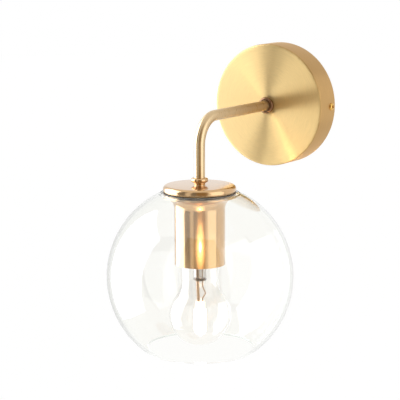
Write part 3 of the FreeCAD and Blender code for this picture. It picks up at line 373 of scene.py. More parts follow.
def grown(name, tree, values, source=None, wall=0):
    """A plain mesh that a tree makes from named values, with a wall inside it if one is given."""
    item = new_object(name + "_source", source or bpy.data.meshes.new(name))
    modifier = item.modifiers.new(tree.name, "NODES")
    modifier.node_group = tree
    for socket in tree.interface.items_tree:
        if socket.in_out == "INPUT" and socket.name in values:
            modifier[socket.identifier] = values[socket.name]
    if wall:
        bore = item.modifiers.new("bore", "SOLIDIFY")
        bore.thickness = wall
        bore.offset = -1
        bore.use_even_offset = True
    ready = item.evaluated_get(bpy.context.evaluated_depsgraph_get())
    mesh = bpy.data.meshes.new_from_object(ready)
    mesh.name = name
    bpy.data.objects.remove(item)
    return mesh


def joined(meshes):
    """Several meshes as one."""
    work = bmesh.new()
    for mesh in meshes:
        work.from_mesh(mesh)
    mesh = meshes[0]
    work.to_mesh(mesh)
    work.free()
    return mesh


def piece(name, mesh, material, body, slot_name, *nodes):
    """Show a finished mesh in place of nodes of the frame, riding on a body."""
    item = new_object(name, mesh)
    if not mesh.materials:
        mesh.materials.append(material)
    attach(item, body)
    if nodes:
        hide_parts(*nodes)
    return item


def finish_node(name, material):
    """Give a node of the frame a better material."""
    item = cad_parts[name]
    item.data.materials.clear()
    item.data.materials.append(material)


# ---------------------------------------------------------------- finishes


def empty_tree(owner):
    """The node tree of a material or a world, with nothing in it."""
    owner.use_nodes = True
    owner.node_tree.nodes.clear()
    return owner.node_tree


def surface(name, values):
    """A material whose plain values stand on its shader's own sockets, its tree and its shader.

    A material that is there already comes back alone.
    """
    full_name = "sconce_" + name
    found = bpy.data.materials.get(full_name)
    if found:
        return found, None, None
    material = bpy.data.materials.new(full_name)
    tree = empty_tree(material)
    shader = add(tree, "ShaderNodeBsdfPrincipled", values)
    add(tree, "ShaderNodeOutputMaterial", {"Surface": shader})
    return material, tree, shader


def turned_grain(tree, centre, axis, line, run):
    """Fine rings left by turning: they change fast across the lines and slowly round the axis."""
    place = add(tree, "ShaderNodeTexCoord").outputs["Object"]
    near = add(tree, "ShaderNodeVectorMath", {0: place, 1: tuple(centre)}, operation="SUBTRACT")
    keep = (1, 0, 1) if axis == "Y" else (1, 1, 0)
    flat = add(tree, "ShaderNodeVectorMath", {0: near, 1: keep}, operation="MULTIPLY")
    radius = add(tree, "ShaderNodeVectorMath", {0: flat}, operation="LENGTH")
    along = add(tree, "ShaderNodeSeparateXYZ", {0: near})
    total = add(tree, "ShaderNodeMath", {0: radius.outputs["Value"], 1: along.outputs[axis]},
                operation="ADD")
    lines = add(tree, "ShaderNodeMath", {0: total, 1: 1 / line}, operation="MULTIPLY")
    way = add(tree, "ShaderNodeVectorMath", {0: flat}, operation="NORMALIZE")
    slow = add(tree, "ShaderNodeVectorMath", {0: way, "Scale": run}, operation="SCALE")
    parts = add(tree, "ShaderNodeSeparateXYZ", {0: slow})
    other = parts.outputs["Z" if axis == "Y" else "Y"]
    vector = add(tree, "ShaderNodeCombineXYZ", {"X": lines, "Y": parts.outputs["X"], "Z": other})
    return add(tree, "ShaderNodeTexNoise", {
        "Vector": vector, "Scale": 1.0, "Detail": 3.0, "Roughness": 0.6}).outputs[0]


def soft_spots(tree, grain_size, **more):
    """An even pattern of soft spots, each about as wide as the grain size in metres."""
    place = add(tree, "ShaderNodeTexCoord").outputs["Object"]
    return add(tree, "ShaderNodeTexNoise", {
        "Vector": place, "Scale": 1 / grain_size, **more}).outputs[0]


def varied(tree, shader, pattern, base, spread, rough, rough_spread):
    """Let a pattern lighten and darken a colour and change its roughness a little."""
    dark = tuple(c * (1 - spread) for c in base[:3]) + (1,)
    light = tuple(min(c * (1 + spread), 1) for c in base[:3]) + (1,)
    tint = add(tree, "ShaderNodeMix", {0: pattern, 6: dark, 7: light}, data_type="RGBA")
    feed(tree, shader, {"Base Color": tint.outputs[2]})
    matt = add(tree, "ShaderNodeMapRange", {
        "Value": pattern, "To Min": rough - rough_spread, "To Max": rough + rough_spread})
    feed(tree, shader, {"Roughness": matt})


def relief(tree, shader, pattern, depth):
    """Raise a surface by a pattern, to a depth in metres."""
    bump = add(tree, "ShaderNodeBump", {"Height": pattern, "Distance": depth, "Strength": 1.0})
    feed(tree, shader, {"Normal": bump})


def brushed_brass(name, base, coat):
    """Spun brass sheet, brushed in circles round the arm and lacquered.

    The brush lines spread each reflection across themselves, so the face shows a fan of light
    and dark about its centre. Real lines lie 0.1 mm apart. Here they are 0.9 mm, to show.
    """
    material, tree, shader = surface(name, {
        "Metallic": 1.0, "Anisotropic": 0.97, "Anisotropic Rotation": 0.25,
        "Coat Weight": coat, "Coat Roughness": 0.3})
    if tree:
        grain = turned_grain(tree, (0, 0, 0), "Y", 0.9 * MM, 5)
        varied(tree, shader, grain, base, 0.13, 0.37, 0.05)
        tangent = add(tree, "ShaderNodeTangent", direction_type="RADIAL", axis="Y")
        feed(tree, shader, {"Tangent": tangent})
    return material


def polished_brass(colours):
    """Turned brass, polished on the lathe and lacquered.

    It mirrors the studio in clear bands, and its faint lathe lines draw a bright spot out along
    the axis. Real lines lie 0.05 mm apart. Here they are 0.6 mm, to show.
    """
    material, tree, shader = surface("lacquered_brass_polished_on_lathe", {
        "Metallic": 1.0, "Anisotropic": 0.3, "Anisotropic Rotation": 0.25,
        "Coat Weight": 0.5, "Coat Roughness": 0.07})
    if tree:
        grain = turned_grain(tree, on_axis(0), "Z", 0.6 * MM, 1.2)
        varied(tree, shader, grain, colours.polished, 0.03, 0.185, 0.012)
        tangent = add(tree, "ShaderNodeTangent", direction_type="RADIAL", axis="Z")
        feed(tree, shader, {"Tangent": tangent})
    return material


def satin_brass(colours):
    """Brass tube, polished round its girth on a belt and lacquered.

    The belt's lines run round the tube, so each reflection is drawn out along it. Real lines lie
    0.05 mm apart. Here they are 0.5 mm, to show.
    """
    material, tree, shader = surface("lacquered_brass_belt_polished_tube", {
        "Metallic": 1.0, "Anisotropic": 0.94, "Coat Weight": 0.1, "Coat Roughness": 0.05})
    if tree:
        around = add(tree, "ShaderNodeAttribute", attribute_name="around")
        along = add(tree, "ShaderNodeAttribute", attribute_name="along")
        heading = add(tree, "ShaderNodeAttribute", attribute_name="heading")
        feed(tree, shader, {"Tangent": heading.outputs["Vector"]})
        slow = add(tree, "ShaderNodeVectorMath", {0: around.outputs["Vector"], "Scale": 120.0},
                   operation="SCALE")
        lines = add(tree, "ShaderNodeMath", {0: along.outputs["Fac"], 1: 1 / (0.5 * MM)},
                    operation="MULTIPLY")
        vector = add(tree, "ShaderNodeCombineXYZ", {"Z": lines})
        both = add(tree, "ShaderNodeVectorMath", {0: slow, 1: vector}, operation="ADD")
        streaks = add(tree, "ShaderNodeTexNoise", {"Vector": both, "Scale": 1.0, "Detail": 2.0})
        varied(tree, shader, streaks, colours.arm, 0.03, 0.28, 0.02)
    return material


# Finishes that vary in soft spots. Each has: metal or not, its colour (a setting's name or a hex
# code), roughness, the size of its spots, the spread of its colour, its relief, and the rest.
PLAIN_FINISHES = {
    # Brass blackened to a dark bronze patina, thin enough to stay glossy.
    "dark_bronze_patina": (True, "bronze", 0.22, 2.5 * MM, 0.12, 0,
                           {"Coat Weight": 0.3, "Coat Roughness": 0.08}),
    # Bright turned screw brass, yellower than the plate.
    "turned_screw_brass": (True, "screw", 0.16, 0.8 * MM, 0.05, 0, {}),
    # Zinc-plated steel strip, with the cloudy spangle of bright plating.
    "zinc_plated_steel": (True, "steel", 0.34, 3 * MM, 0.09, 0.01 * MM, {}),
    # Bare stamped brass of terminals and contacts, a little dulled.
    "stamped_brass": (True, "stamped", 0.3, 1.5 * MM, 0.08, 0, {}),
    # Nickel-plated rolled shell of the lamp's cap, warm grey and bright.
    "nickel_plated_shell": (True, "#c9c4b8", 0.24, 2 * MM, 0.05, 0, {}),
    # Tin solder on the lamp's contact, lumpy and half matt.
    "tin_solder": (True, "#bcb9b2", 0.4, 1.2 * MM, 0.08, 0.1 * MM, {}),
    # Nickel-iron and molybdenum wire, browned where it was sealed in glass.
    "sealed_in_wire": (True, "#b59a80", 0.33, 1.2 * MM, 0.16, 0, {}),
    # Glazed porcelain: a smooth glass skin over white clay.
    "glazed_porcelain": (False, "porcelain", 0.3, 6 * MM, 0.04, 0.02 * MM,
                         {"Coat Weight": 0.6, "Coat Roughness": 0.05}),
    # Moulded natural nylon, milky and a little soft in the light.
    "moulded_nylon": (False, "nylon", 0.42, 1.5 * MM, 0.04, 0.01 * MM,
                      {"Subsurface Weight": 0.15, "Subsurface Scale": 1.0 * MM}),
    # Moulded clear silicone rubber, a little milky.
    "silicone_gasket": (False, "#b9b2a6", 0.4, 1 * MM, 0.04, 0.01 * MM,
                        {"Transmission Weight": 0.5}),
    # Black vitrified glass of the lamp's insulator, with a hard gloss.
    "black_vitrite": (False, "#17161a", 0.12, 2 * MM, 0.04, 0.01 * MM, {}),
    # Extruded wire insulation with a slight sheen.
    "brown_insulation": (False, "#6b4226", 0.38, 1 * MM, 0.04, 0.01 * MM, {}),
    "blue_insulation": (False, "#2f5fa8", 0.38, 1 * MM, 0.04, 0.01 * MM, {}),
}


def plain_finish(name):
    """One of the plain finishes, a metal or a body of plastic, rubber, glass or clay."""
    metal, tone, rough, grain_size, spread, depth, more = PLAIN_FINISHES[name]
    base = linear(tone) if "#" in tone else getattr(bpy.context.scene.sconce_colours, tone)
    material, tree, shader = surface(name, {"Metallic": 1.0, **more} if metal else more)
    if tree:
        detail = {"Detail": 4.0, "Roughness": 0.6} if metal else {"Detail": 3.0}
        spots = soft_spots(tree, grain_size, **detail)
        varied(tree, shader, spots, base, spread, rough, rough * (0.25 if metal else 0.15))
        if depth:
            relief(tree, shader, spots, depth)
    return material


def earth_insulation():
    """Green wire insulation with yellow stripes that run along it."""
    material, tree, shader = surface("green_yellow_insulation", {"Roughness": 0.38})
    if tree:
        side = add(tree, "ShaderNodeTexCoord").outputs["Normal"]
        turned_to = add(tree, "ShaderNodeVectorMath", {0: side, 1: (0.31, 0.52, 0.79)},
                        operation="DOT_PRODUCT")
        away = add(tree, "ShaderNodeMath", {0: turned_to.outputs["Value"]}, operation="ABSOLUTE")
        stripe = add(tree, "ShaderNodeMath", {0: away, 1: 0.45}, operation="LESS_THAN")
        tint = add(tree, "ShaderNodeMix", {
            0: stripe, 6: linear("#2f7d35"), 7: linear("#e3d32c")}, data_type="RGBA")
        feed(tree, shader, {"Base Color": tint.outputs[2]})
    return material


# A ray that bounces more often than this has run along inside a glass wall.
TRAPPED_BOUNCES = 6.5


def output_of(tree):
    """The output node of a material's tree."""
    return next(node for node in tree.nodes if node.type == "OUTPUT_MATERIAL")


def let_light_through(tree, shader):
    """Let lamps shine through glass, and let light out that has run along inside its wall."""
    rays = add(tree, "ShaderNodeLightPath").outputs
    trapped = add(tree, "ShaderNodeMath", {0: rays["Ray Depth"], 1: TRAPPED_BOUNCES},
                  operation="GREATER_THAN")
    free = add(tree, "ShaderNodeMath", {0: trapped, 1: rays["Is Shadow Ray"]},
               operation="MAXIMUM")
    clear = add(tree, "ShaderNodeBsdfTransparent", {"Color": (0.97, 0.97, 0.97, 1)})
    both = add(tree, "ShaderNodeMixShader", {0: free, 1: shader, 2: clear})
    feed(tree, output_of(tree), {"Surface": both})


def clear_glass(name, ripple, depth, tint, density):
    """Clear soda-lime glass. Its faint green shows only where the eye looks along the wall. A
    strong tint, as on the lamp's stem, is painted shade.

    Slow ripples from blowing bend what is seen through it a little.
    """
    material, tree, shader = surface(name, {
        "Base Color": linear("#fffefc"), "Transmission Weight": 1.0, "Roughness": 0.0,
        "IOR": 1.52})
    if tree:
        let_light_through(tree, shader)
        relief(tree, shader, soft_spots(tree, ripple, Detail=0.0), depth)
        if density:
            body = add(tree, "ShaderNodeVolumeAbsorption", {
                "Color": linear(tint), "Density": density})
            feed(tree, output_of(tree), {"Volume": body})
    return material


def lit_quartz(level):
    """Drawn quartz tube of a burning halogen lamp.

    Below it glares so evenly that it shows as warm white. Its pinched end above is amber.
    """
    material, tree, shader = surface("lit_quartz_capsule", {
        "Base Color": linear("#fff4e2"), "Roughness": 0.2, "IOR": 1.46,
        "Emission Strength": level})
    if tree:
        place = add(tree, "ShaderNodeTexCoord").outputs["Object"]
        height = add(tree, "ShaderNodeSeparateXYZ", {0: place})
        foot, top = low("bulb_capsule", "z"), high("bulb_capsule", "z")
        share = add(tree, "ShaderNodeMapRange", {
            "Value": height.outputs["Z"], "From Min": foot + 0.55 * (top - foot), "From Max": top,
            "To Min": 0.0, "To Max": 1.0})
        glow = add(tree, "ShaderNodeMix", {
            0: share, 6: linear("#fff1dc"), 7: linear("#c9925a")}, data_type="RGBA")
        feed(tree, shader, {"Emission Color": glow.outputs[2]})
        let_light_through(tree, shader)
    return material


def burning_tungsten(level):
    """Drawn tungsten wire, coiled and burning at 2900 K, so that it shines a warm yellow."""
    material, tree, shader = surface("burning_tungsten", {
        "Base Color": linear("#8a7a68"), "Metallic": 1.0, "Roughness": 0.4,
        "Emission Color": linear("#ffc88a"), "Emission Strength": 4 * level})
    if tree:
        rough = add(tree, "ShaderNodeMapRange", {
            "Value": soft_spots(tree, 0.6 * MM), "To Min": 0.3, "To Max": 0.5})
        feed(tree, shader, {"Roughness": rough})
    return material


# ---------------------------------------------------------------- wall plate and arm


class SCONCE_OT_wall_plate(bpy.types.Operator):
    """Make the spun wall plate with its round edge"""

    bl_idname = "sconce.wall_plate"
    bl_label = "Wall plate"

    def execute(self, context):
        sizes, colours = context.scene.sconce_sizes, context.scene.sconce_colours
        rim, front, back = high("canopy", "x"), low("canopy", "y"), high("canopy", "y")
        wall, edge, hole = sizes.plate_wall, 0.3 * MM, sizes.plate_hole
        steps, face = 16, rim - 4 * MM
        crown = [(reach, front + sizes.plate_crown * (reach / rim) ** 2)
                 for reach in (hole + (face - hole) * i / steps for i in range(steps + 1))]
        outline = crown + rounded([
            crown[-1], (rim, front + sizes.plate_crown, sizes.plate_round), (rim, back, edge),
            (rim - wall, back, edge),
            (rim - wall, front + sizes.plate_crown + wall, sizes.plate_round - wall),
            (face, front + sizes.plate_crown + wall)])[1:] + [(hole, front + wall)]
        mesh = turned("wall_plate", outline, "Y", segments=192)
        mesh.materials.append(brushed_brass("brass_brushed_in_circles", colours.plate, 0.5))
        # The rim takes a darker copy of the face's brass: painted shade.
        mesh.materials.append(brushed_brass("brass_brushed_round_rim", colours.plate_rim_shaded, 0.1))
        for side in mesh.polygons:
            if math.hypot(side.center.x, side.center.z) > rim - 0.5 * MM:
                side.material_index = 1
        piece("wall_plate", mesh, None, "fixture", "brushed_brass", "canopy")
        return {"FINISHED"}


def socket_screw_outline(head, height, shank, length, hexagon, depth):
    """A button-head screw from its socket out and down its shank, along a rising axis."""
    crown = height * 0.92
    return [
        (0, height - depth), (hexagon, height - depth, True), (hexagon, height - 0.12 * MM, True),
        (hexagon * 1.16 + 0.05 * MM, height)] + arc(
            head - crown, height - crown, crown, 90, 0, 10) + [
        (head, 0), (shank, 0), (shank, -length + 0.4 * MM), (shank - 0.4 * MM, -length),
        (0, -length)]


class SCONCE_OT_side_screws(bpy.types.Operator):
    """Make the two button-head screws in the plate's rim"""

    bl_idname = "sconce.side_screws"
    bl_label = "Side screws"

    def execute(self, context):
        rim, tip = high("canopy", "x"), high("canopy_screws", "x")
        level = (low("canopy_screws", "y") + high("canopy_screws", "y")) / 2
        head = (high("canopy_screws", "y") - low("canopy_screws", "y")) / 2
        outline = socket_screw_outline(head, tip - rim, shank=2 * MM, length=9 * MM,
                                       hexagon=1.5 * MM, depth=1.4 * MM)
        mesh = turned("one_screw", outline, "Y", segments=96, sharp=30)
        mesh.transform(Matrix.Translation((rim, level, 0)) @ Matrix.Rotation(
            math.radians(-90), 4, "Z"))
        brass = plain_finish("turned_screw_brass")
        pair = grown("side_screws", copies_tree(), {
            "Copies": 2, "Centre": (0, 0, 0), "Axis": (0, 1, 0), "Material": brass}, mesh)
        pair.set_sharp_from_angle(angle=math.radians(30))
        piece("side_screws", pair, brass, "fixture", "screw_brass", "canopy_screws")
        return {"FINISHED"}


class SCONCE_OT_arm(bpy.types.Operator):
    """Make the bent tube and the threads at its ends"""

    bl_idname = "sconce.arm"
    bl_label = "Arm"

    def execute(self, context):
        sizes, colours = context.scene.sconce_sizes, context.scene.sconce_colours
        radius = high("arm_tube", "x")
        back, foot = high("arm_tube", "y"), low("arm_tube", "z")
        thread, pitch = sizes.arm_thread, sizes.arm_thread_pitch
        brass = satin_brass(colours)
        # The plain tube ends inside the plate and inside the bead, where its threads begin.
        plain_back, plain_foot = back - 8 * MM, foot / 1.3
        path = line_mesh("arm_line", [(0, plain_back, 0), on_axis(0), on_axis(plain_foot)])
        tube = grown("arm_tube_bent", bent_rod_tree(), {
            "Bend": sizes.bend, "Rod_radius": radius, "Steps": 56, "Sides": 72, "Caps": False,
            "Material": brass}, path, sizes.tube_wall)
        tube.set_sharp_from_angle(angle=math.radians(38))
        piece("arm", tube, brass, "fixture", "satin_brass", "arm_tube")
        bare = plain_finish("stamped_brass")
        bore = radius - sizes.tube_wall
        rear = Vector((0, low("canopy", "y") - 1 * MM, 0))
        for name, start, length, turn in (
                ("arm_rear_thread", rear, back - rear.y, Matrix.Rotation(-math.pi / 2, 4, "X")),
                ("arm_foot_thread", on_axis(foot), high("shade_cap", "z") + 1 * MM - foot,
                 Matrix())):
            core = turned(name, rounded([(bore, 0), (thread, 0, 0.2 * MM),
                                         (thread, length, 0.2 * MM), (bore, length)]), segments=64)
            core.transform(Matrix.Translation(-on_axis(0)))
            ridge = grown(name + "_ridge", helix_tree(), {
                "Coil_radius": thread - 0.05 * MM, "Pitch": pitch, "Turns": length / pitch - 0.6,
                "Wire_radius": 0.42 * MM, "Sides": 6, "Material": bare})
            ridge.transform(Matrix.Translation((0, 0, 0.3 * pitch)))
            sleeve = joined([core, ridge])
            sleeve.transform(Matrix.Translation(start) @ turn)
            sleeve.materials.clear()
            piece(name, sleeve, bare, "fixture", "satin_brass")
        return {"FINISHED"}


class SCONCE_OT_collars(bpy.types.Operator):
    """Make the dark ring at the plate and the bead on the cap"""

    bl_idname = "sconce.collars"
    bl_label = "Ring and bead"

    def execute(self, context):
        sizes, colours = context.scene.sconce_sizes, context.scene.sconce_colours
        tube = high("arm_tube", "x")
        back, front = high("rear_collar", "y"), low("rear_collar", "y")
        half, rim = (back - front) / 2, high("rear_collar", "x")
        recess = front + sizes.ring_recess
        outline = arc(rim - half, front + half, half, 90, -90, 20) + [
            (rim - half - 0.2 * MM, front), (tube + 0.75 * MM, recess), (tube - 0.1 * MM, recess),
            (tube - 0.1 * MM, back)]
        ring = turned("rear_ring", outline, "Y", segments=96)
        piece("rear_ring", ring, plain_finish("dark_bronze_patina"), "fixture", "dark_bronze",
              "rear_collar")
        top, foot = high("lower_collar", "z"), low("lower_collar", "z")
        neck = foot + sizes.foot_height
        half, rim = (top - neck) / 2, high("lower_collar", "x")
        outline = [(tube - 0.1 * MM, foot)] + rounded([
            (sizes.foot_radius, foot, 0.15 * MM), (sizes.foot_radius, neck, 0.3 * MM),
            (rim - half, neck)])[:-1] + arc(rim - half, neck + half, half, -90, 90, 20) + [
            (tube + 0.25 * MM, top), (tube - 0.1 * MM, top - 0.25 * MM)]
        bead = turned("bead", outline, segments=112)
        piece("bead", bead, polished_brass(colours), "fixture", "polished_brass", "lower_collar")
        return {"FINISHED"}


# ---------------------------------------------------------------- cap, cup and globe


class SCONCE_OT_cap_and_cup(bpy.types.Operator):
    """Make the shallow cap and the flared socket cup"""

    bl_idname = "sconce.cap_and_cup"
    bl_label = "Cap and cup"

    def execute(self, context):
        sizes, colours = context.scene.sconce_sizes, context.scene.sconce_colours
        brass, hole = polished_brass(colours), sizes.plate_hole
        rim, top, foot = high("shade_cap", "x"), high("shade_cap", "z"), low("shade_cap", "z")
        wall, edge = sizes.cap_wall, 0.3 * MM
        lip = rim - sizes.cap_turn_in - 0.5 * MM
        outline = rounded([
            (hole, top), (rim, top, sizes.cap_round), (rim, foot, sizes.cap_turn_in), (lip, foot),
            (lip, foot + wall), (rim - wall, foot + wall, sizes.cap_turn_in - wall),
            (rim - wall, top - wall, sizes.cap_round - wall), (hole, top - wall)], steps=10)
        piece("cap", turned("cap", outline, segments=176), brass, "fixture", "polished_brass",
              "shade_cap")
        wall, cup = sizes.cup_wall, sizes.cup_radius
        flange = low("flange_gasket", "z")
        flare = rim - cup
        bend = flange - wall - sizes.cup_lip - flare
        spigot = sizes.neck_hole - 0.6 * MM
        under = math.degrees(math.asin((flange - wall - bend) / (flare + wall)))
        outline = rounded([(hole, flange), (hole, flange - wall)])
        outline += arc(rim, bend, flare + wall, 180 - under, 180, 16)
        outline += rounded([(cup - wall, bend - wall), (cup - wall, low("socket_cup", "z"), edge),
                            (cup, low("socket_cup", "z"), edge), (cup, bend - wall)])
        outline += arc(rim, bend, flare, 180, 90, 28)
        outline += [(rim, flange - 0.3 * MM), (rim - 0.3 * MM, flange), (spigot, flange),
                    (spigot, high("socket_cup", "z")), (spigot - wall, high("socket_cup", "z")),
                    (spigot - wall, flange)]
        piece("socket_cup_turned", turned("cup", outline, segments=176), brass, "fixture",
              "polished_brass", "socket_cup")
        return {"FINISHED"}


class SCONCE_OT_globe(bpy.types.Operator):
    """Make the blown globe with its flat top and fire-polished mouth"""

    bl_idname = "sconce.globe"
    bl_label = "Globe"

    def execute(self, context):
        sizes = context.scene.sconce_sizes
        ball = high("glass_globe", "x")
        inner = ball - sizes.glass_wall
        top = high("glass_globe", "z")
        under = top - sizes.pad_thickness
        centre = top - math.sqrt(ball ** 2 - sizes.pad_radius ** 2)
        middle = ball - sizes.glass_wall / 2
        lean = math.degrees(math.asin(sizes.mouth_radius / middle))
        down = lean - 90
        rise = math.degrees(math.asin((under - centre) / inner))
        blend = sizes.glass_round
        blend_level = top - blend
        blend_across = math.sqrt((ball - blend) ** 2 - (blend_level - centre) ** 2)
        meet = math.degrees(math.atan2(blend_level - centre, blend_across))
        edge = (middle * math.cos(math.radians(down)), centre + middle * math.sin(
            math.radians(down)))
        outline = [(sizes.neck_hole, top), (sizes.neck_hole, under)]
        outline += arc(0, centre, inner, rise, down, 72)
        outline += arc(*edge, sizes.glass_wall / 2, down + 180, down + 360, 12)[1:-1]
        outline += arc(0, centre, ball, down, meet, 80)
        outline += arc(blend_across, blend_level, blend, meet, 90, 8)[1:]
        mesh = turned("globe", outline, segments=320)
        glass = clear_glass("blown_soda_lime_glass", 70 * MM, 0.004 * MM, "#8fc4a0", 7.0)
        piece("globe", mesh, glass, "fixture", "clear_glass", "glass_globe")
        return {"FINISHED"}


class SCONCE_OT_lampholder(bpy.types.Operator):
    """Finish the gaskets and the porcelain lampholder with its brass parts"""

    bl_idname = "sconce.lampholder"
    bl_label = "Lampholder and gaskets"

    def execute(self, context):
        for name in ("cap_gasket", "flange_gasket"):
            finish_node(name, plain_finish("silicone_gasket"))
        for name in ("lampholder_dome", "lampholder_skirt", "lampholder_insulator"):
            finish_node(name, plain_finish("glazed_porcelain"))
        for name in ("lampholder_terminals", "lampholder_terminal_screws",
                     "lampholder_screw_shell", "lampholder_centre_contact"):
            finish_node(name, plain_finish("stamped_brass"))
        return {"FINISHED"}


class SCONCE_OT_wall_fixings(bpy.types.Operator):
    """Finish the strap, terminals, nuts, washers and wires"""

    bl_idname = "sconce.wall_fixings"
    bl_label = "Fixings and wires"

    def execute(self, context):
        for name in ("wall_bracket", "terminal_block_screw", "rear_washer", "rear_nut",
                     "cup_washer", "cup_nut"):
            finish_node(name, plain_finish("zinc_plated_steel"))
        for name in ("earth_screw", "earth_washer", "earth_tag", "terminal_screws"):
            finish_node(name, plain_finish("stamped_brass"))
        finish_node("terminal_block", plain_finish("moulded_nylon"))
        finish_node("earth_wire", earth_insulation())
        finish_node("live_wire", plain_finish("brown_insulation"))
        finish_node("neutral_wire", plain_finish("blue_insulation"))
        return {"FINISHED"}


# ---------------------------------------------------------------- lamp


class SCONCE_OT_lamp_glass(bpy.types.Operator):
    """Make the lamp's clear envelope and its stem"""

    bl_idname = "sconce.lamp_glass"
    bl_label = "Lamp glass"

    def execute(self, context):
        sizes = context.scene.sconce_sizes
        ball, foot, top = high("bulb_glass", "x"), low("bulb_glass", "z"), high("bulb_glass", "z")
        wall, neck, blend = sizes.lamp_wall, sizes.lamp_neck, sizes.lamp_blend
        centre = foot + ball
        rise = math.sqrt((ball + blend) ** 2 - (neck + blend) ** 2)
        tilt = math.degrees(math.atan2(rise, neck + blend))
        root, shell_foot = sizes.lamp_root, low("bulb_screw_shell", "z")
        shoulder = shell_foot - 4 * MM

        def side(inset):
            """The wall's outline from the cap down, moved in by a distance."""
            return [(root - inset, top), (root - inset, shell_foot)] + arc(
                root - inset, shoulder, neck - root, 60, 0, 8) + arc(
                neck + blend, centre + rise, blend + inset, 180, 180 + tilt, 20) + arc(
                0, centre, ball - inset, tilt, -90, 40)[1:-1] + [(0, foot + inset)]
        outline = side(0) + side(wall)[::-1]
        glass = clear_glass("lamp_glass", 18 * MM, 0.02 * MM, "#ffffff", 0)
        piece("lamp_envelope", turned("lamp_envelope", outline, segments=144), glass, "lamp",
              "lamp_glass", "bulb_glass")
        stem, flare, foot = sizes.stem_radius, root - wall, low("bulb_stem", "z")
        outline = rounded([
            (flare - sizes.stem_wall, top), (flare - sizes.stem_wall, shell_foot, 2 * MM),
            (stem - sizes.stem_wall, shoulder - 1 * MM, 2 * MM),
            (stem - sizes.stem_wall, foot + 2.4 * MM, 1.5 * MM), (0, foot + 2.4 * MM)]) + rounded([
                (0, foot), (stem, foot, 1.2 * MM), (stem, shoulder - 1 * MM, 2 * MM),
                (flare, shell_foot, 2 * MM), (flare, top)])
        mesh = turned("lamp_stem", outline, segments=96)
        # The stem's strong brown-grey absorption is painted shade for the shaded cup seen through
        # it.
        thick = clear_glass("stem_glass", 5 * MM, 0.05 * MM, "#9d8a78", 180.0)
        piece("lamp_stem", mesh, thick, "lamp", "lamp_glass", "bulb_stem")
        return {"FINISHED"}


class SCONCE_OT_lamp_burner(bpy.types.Operator):
    """Make the lit capsule, its pinched end, the leads and the filament"""

    bl_idname = "sconce.lamp_burner"
    bl_label = "Lamp burner"

    def execute(self, context):
        sizes, level = context.scene.sconce_sizes, context.scene.sconce_light.lamp_level
        foot, top = low("bulb_capsule", "z"), high("bulb_capsule", "z")
        radius, pinch = sizes.capsule_radius, sizes.capsule_pinch
        angle = math.radians(33)  # how the flat end and the leads stand to the wall
        outline = [(0, top - pinch)] + rounded([
            (radius * 0.45, top - pinch), (radius, top - pinch, 2.2 * MM),
            (radius, foot + radius)])[1:] + arc(0, foot + radius, radius, 0, -74, 14) + arc(
            0, foot, 1.2 * MM, -20, -90, 5)
        bulb = turned("capsule_bulb", outline, segments=64)
        flat = bpy.data.meshes.new("capsule_pinch")
        work = bmesh.new()
        bmesh.ops.create_cube(work, size=1)
        bmesh.ops.scale(work, verts=work.verts, vec=(8 * MM, 3 * MM, pinch + 1 * MM))
        bmesh.ops.bevel(work, geom=work.edges[:], offset=1 * MM, segments=4, affect="EDGES",
                        profile=0.5)
        work.to_mesh(flat)
        work.free()
        flat.transform(Matrix.Translation((0, LAMP_Y, top - pinch / 2 - 0.5 * MM))
                       @ Matrix.Rotation(angle, 4, "Z"))
        flat.shade_smooth()
        quartz = lit_quartz(level)
        piece("capsule", joined([bulb, flat]), quartz, "lamp", "quartz", "bulb_capsule")
        along = Vector((math.cos(angle), math.sin(angle), 0))
        stem_foot, spread = low("bulb_stem", "z"), sizes.lead_spread
        wire = plain_finish("sealed_in_wire")
        # Both leads run up into the stem's glass, which ends at height 0 here.
        inside, end = 24 * MM, top - stem_foot
        rods = []
        for name, radius, points in (
                ("thick_lead", sizes.thick_lead, [(-spread, inside), (-spread, -0.3 * MM),
                                                  (-spread * 0.7, end)]),
                ("thin_lead", sizes.thin_lead, [(spread, inside), (spread, -6.3 * MM),
                                                (5.3 * MM, -13 * MM), (spread, end + 2.7 * MM),
                                                (spread, end)])):
            places = [on_axis(stem_foot + rise) + along * across for across, rise in points]
            rods.append(grown(name, bent_rod_tree(), {
                "Bend": 1.8 * MM, "Rod_radius": radius, "Steps": 10, "Sides": 20, "Caps": True,
                "Material": wire}, line_mesh(name, places)))
        leads = joined(rods)
        leads.materials.clear()
        piece("lead_wires", leads, wire, "lamp", "lead_metal", "bulb_lead_wires")
        foot, top = low("bulb_filament", "z"), high("bulb_filament", "z")
        coil = grown("filament", helix_tree(), {
            "Coil_radius": sizes.coil_radius, "Pitch": sizes.coil_pitch,
            "Turns": (top - foot) / sizes.coil_pitch, "Wire_radius": 0.11 * MM, "Sides": 6,
            "Material": burning_tungsten(level)})
        coil.transform(Matrix.Translation(on_axis(foot)))
        piece("filament", coil, burning_tungsten(level), "lamp", "tungsten", "bulb_filament")
        return {"FINISHED"}


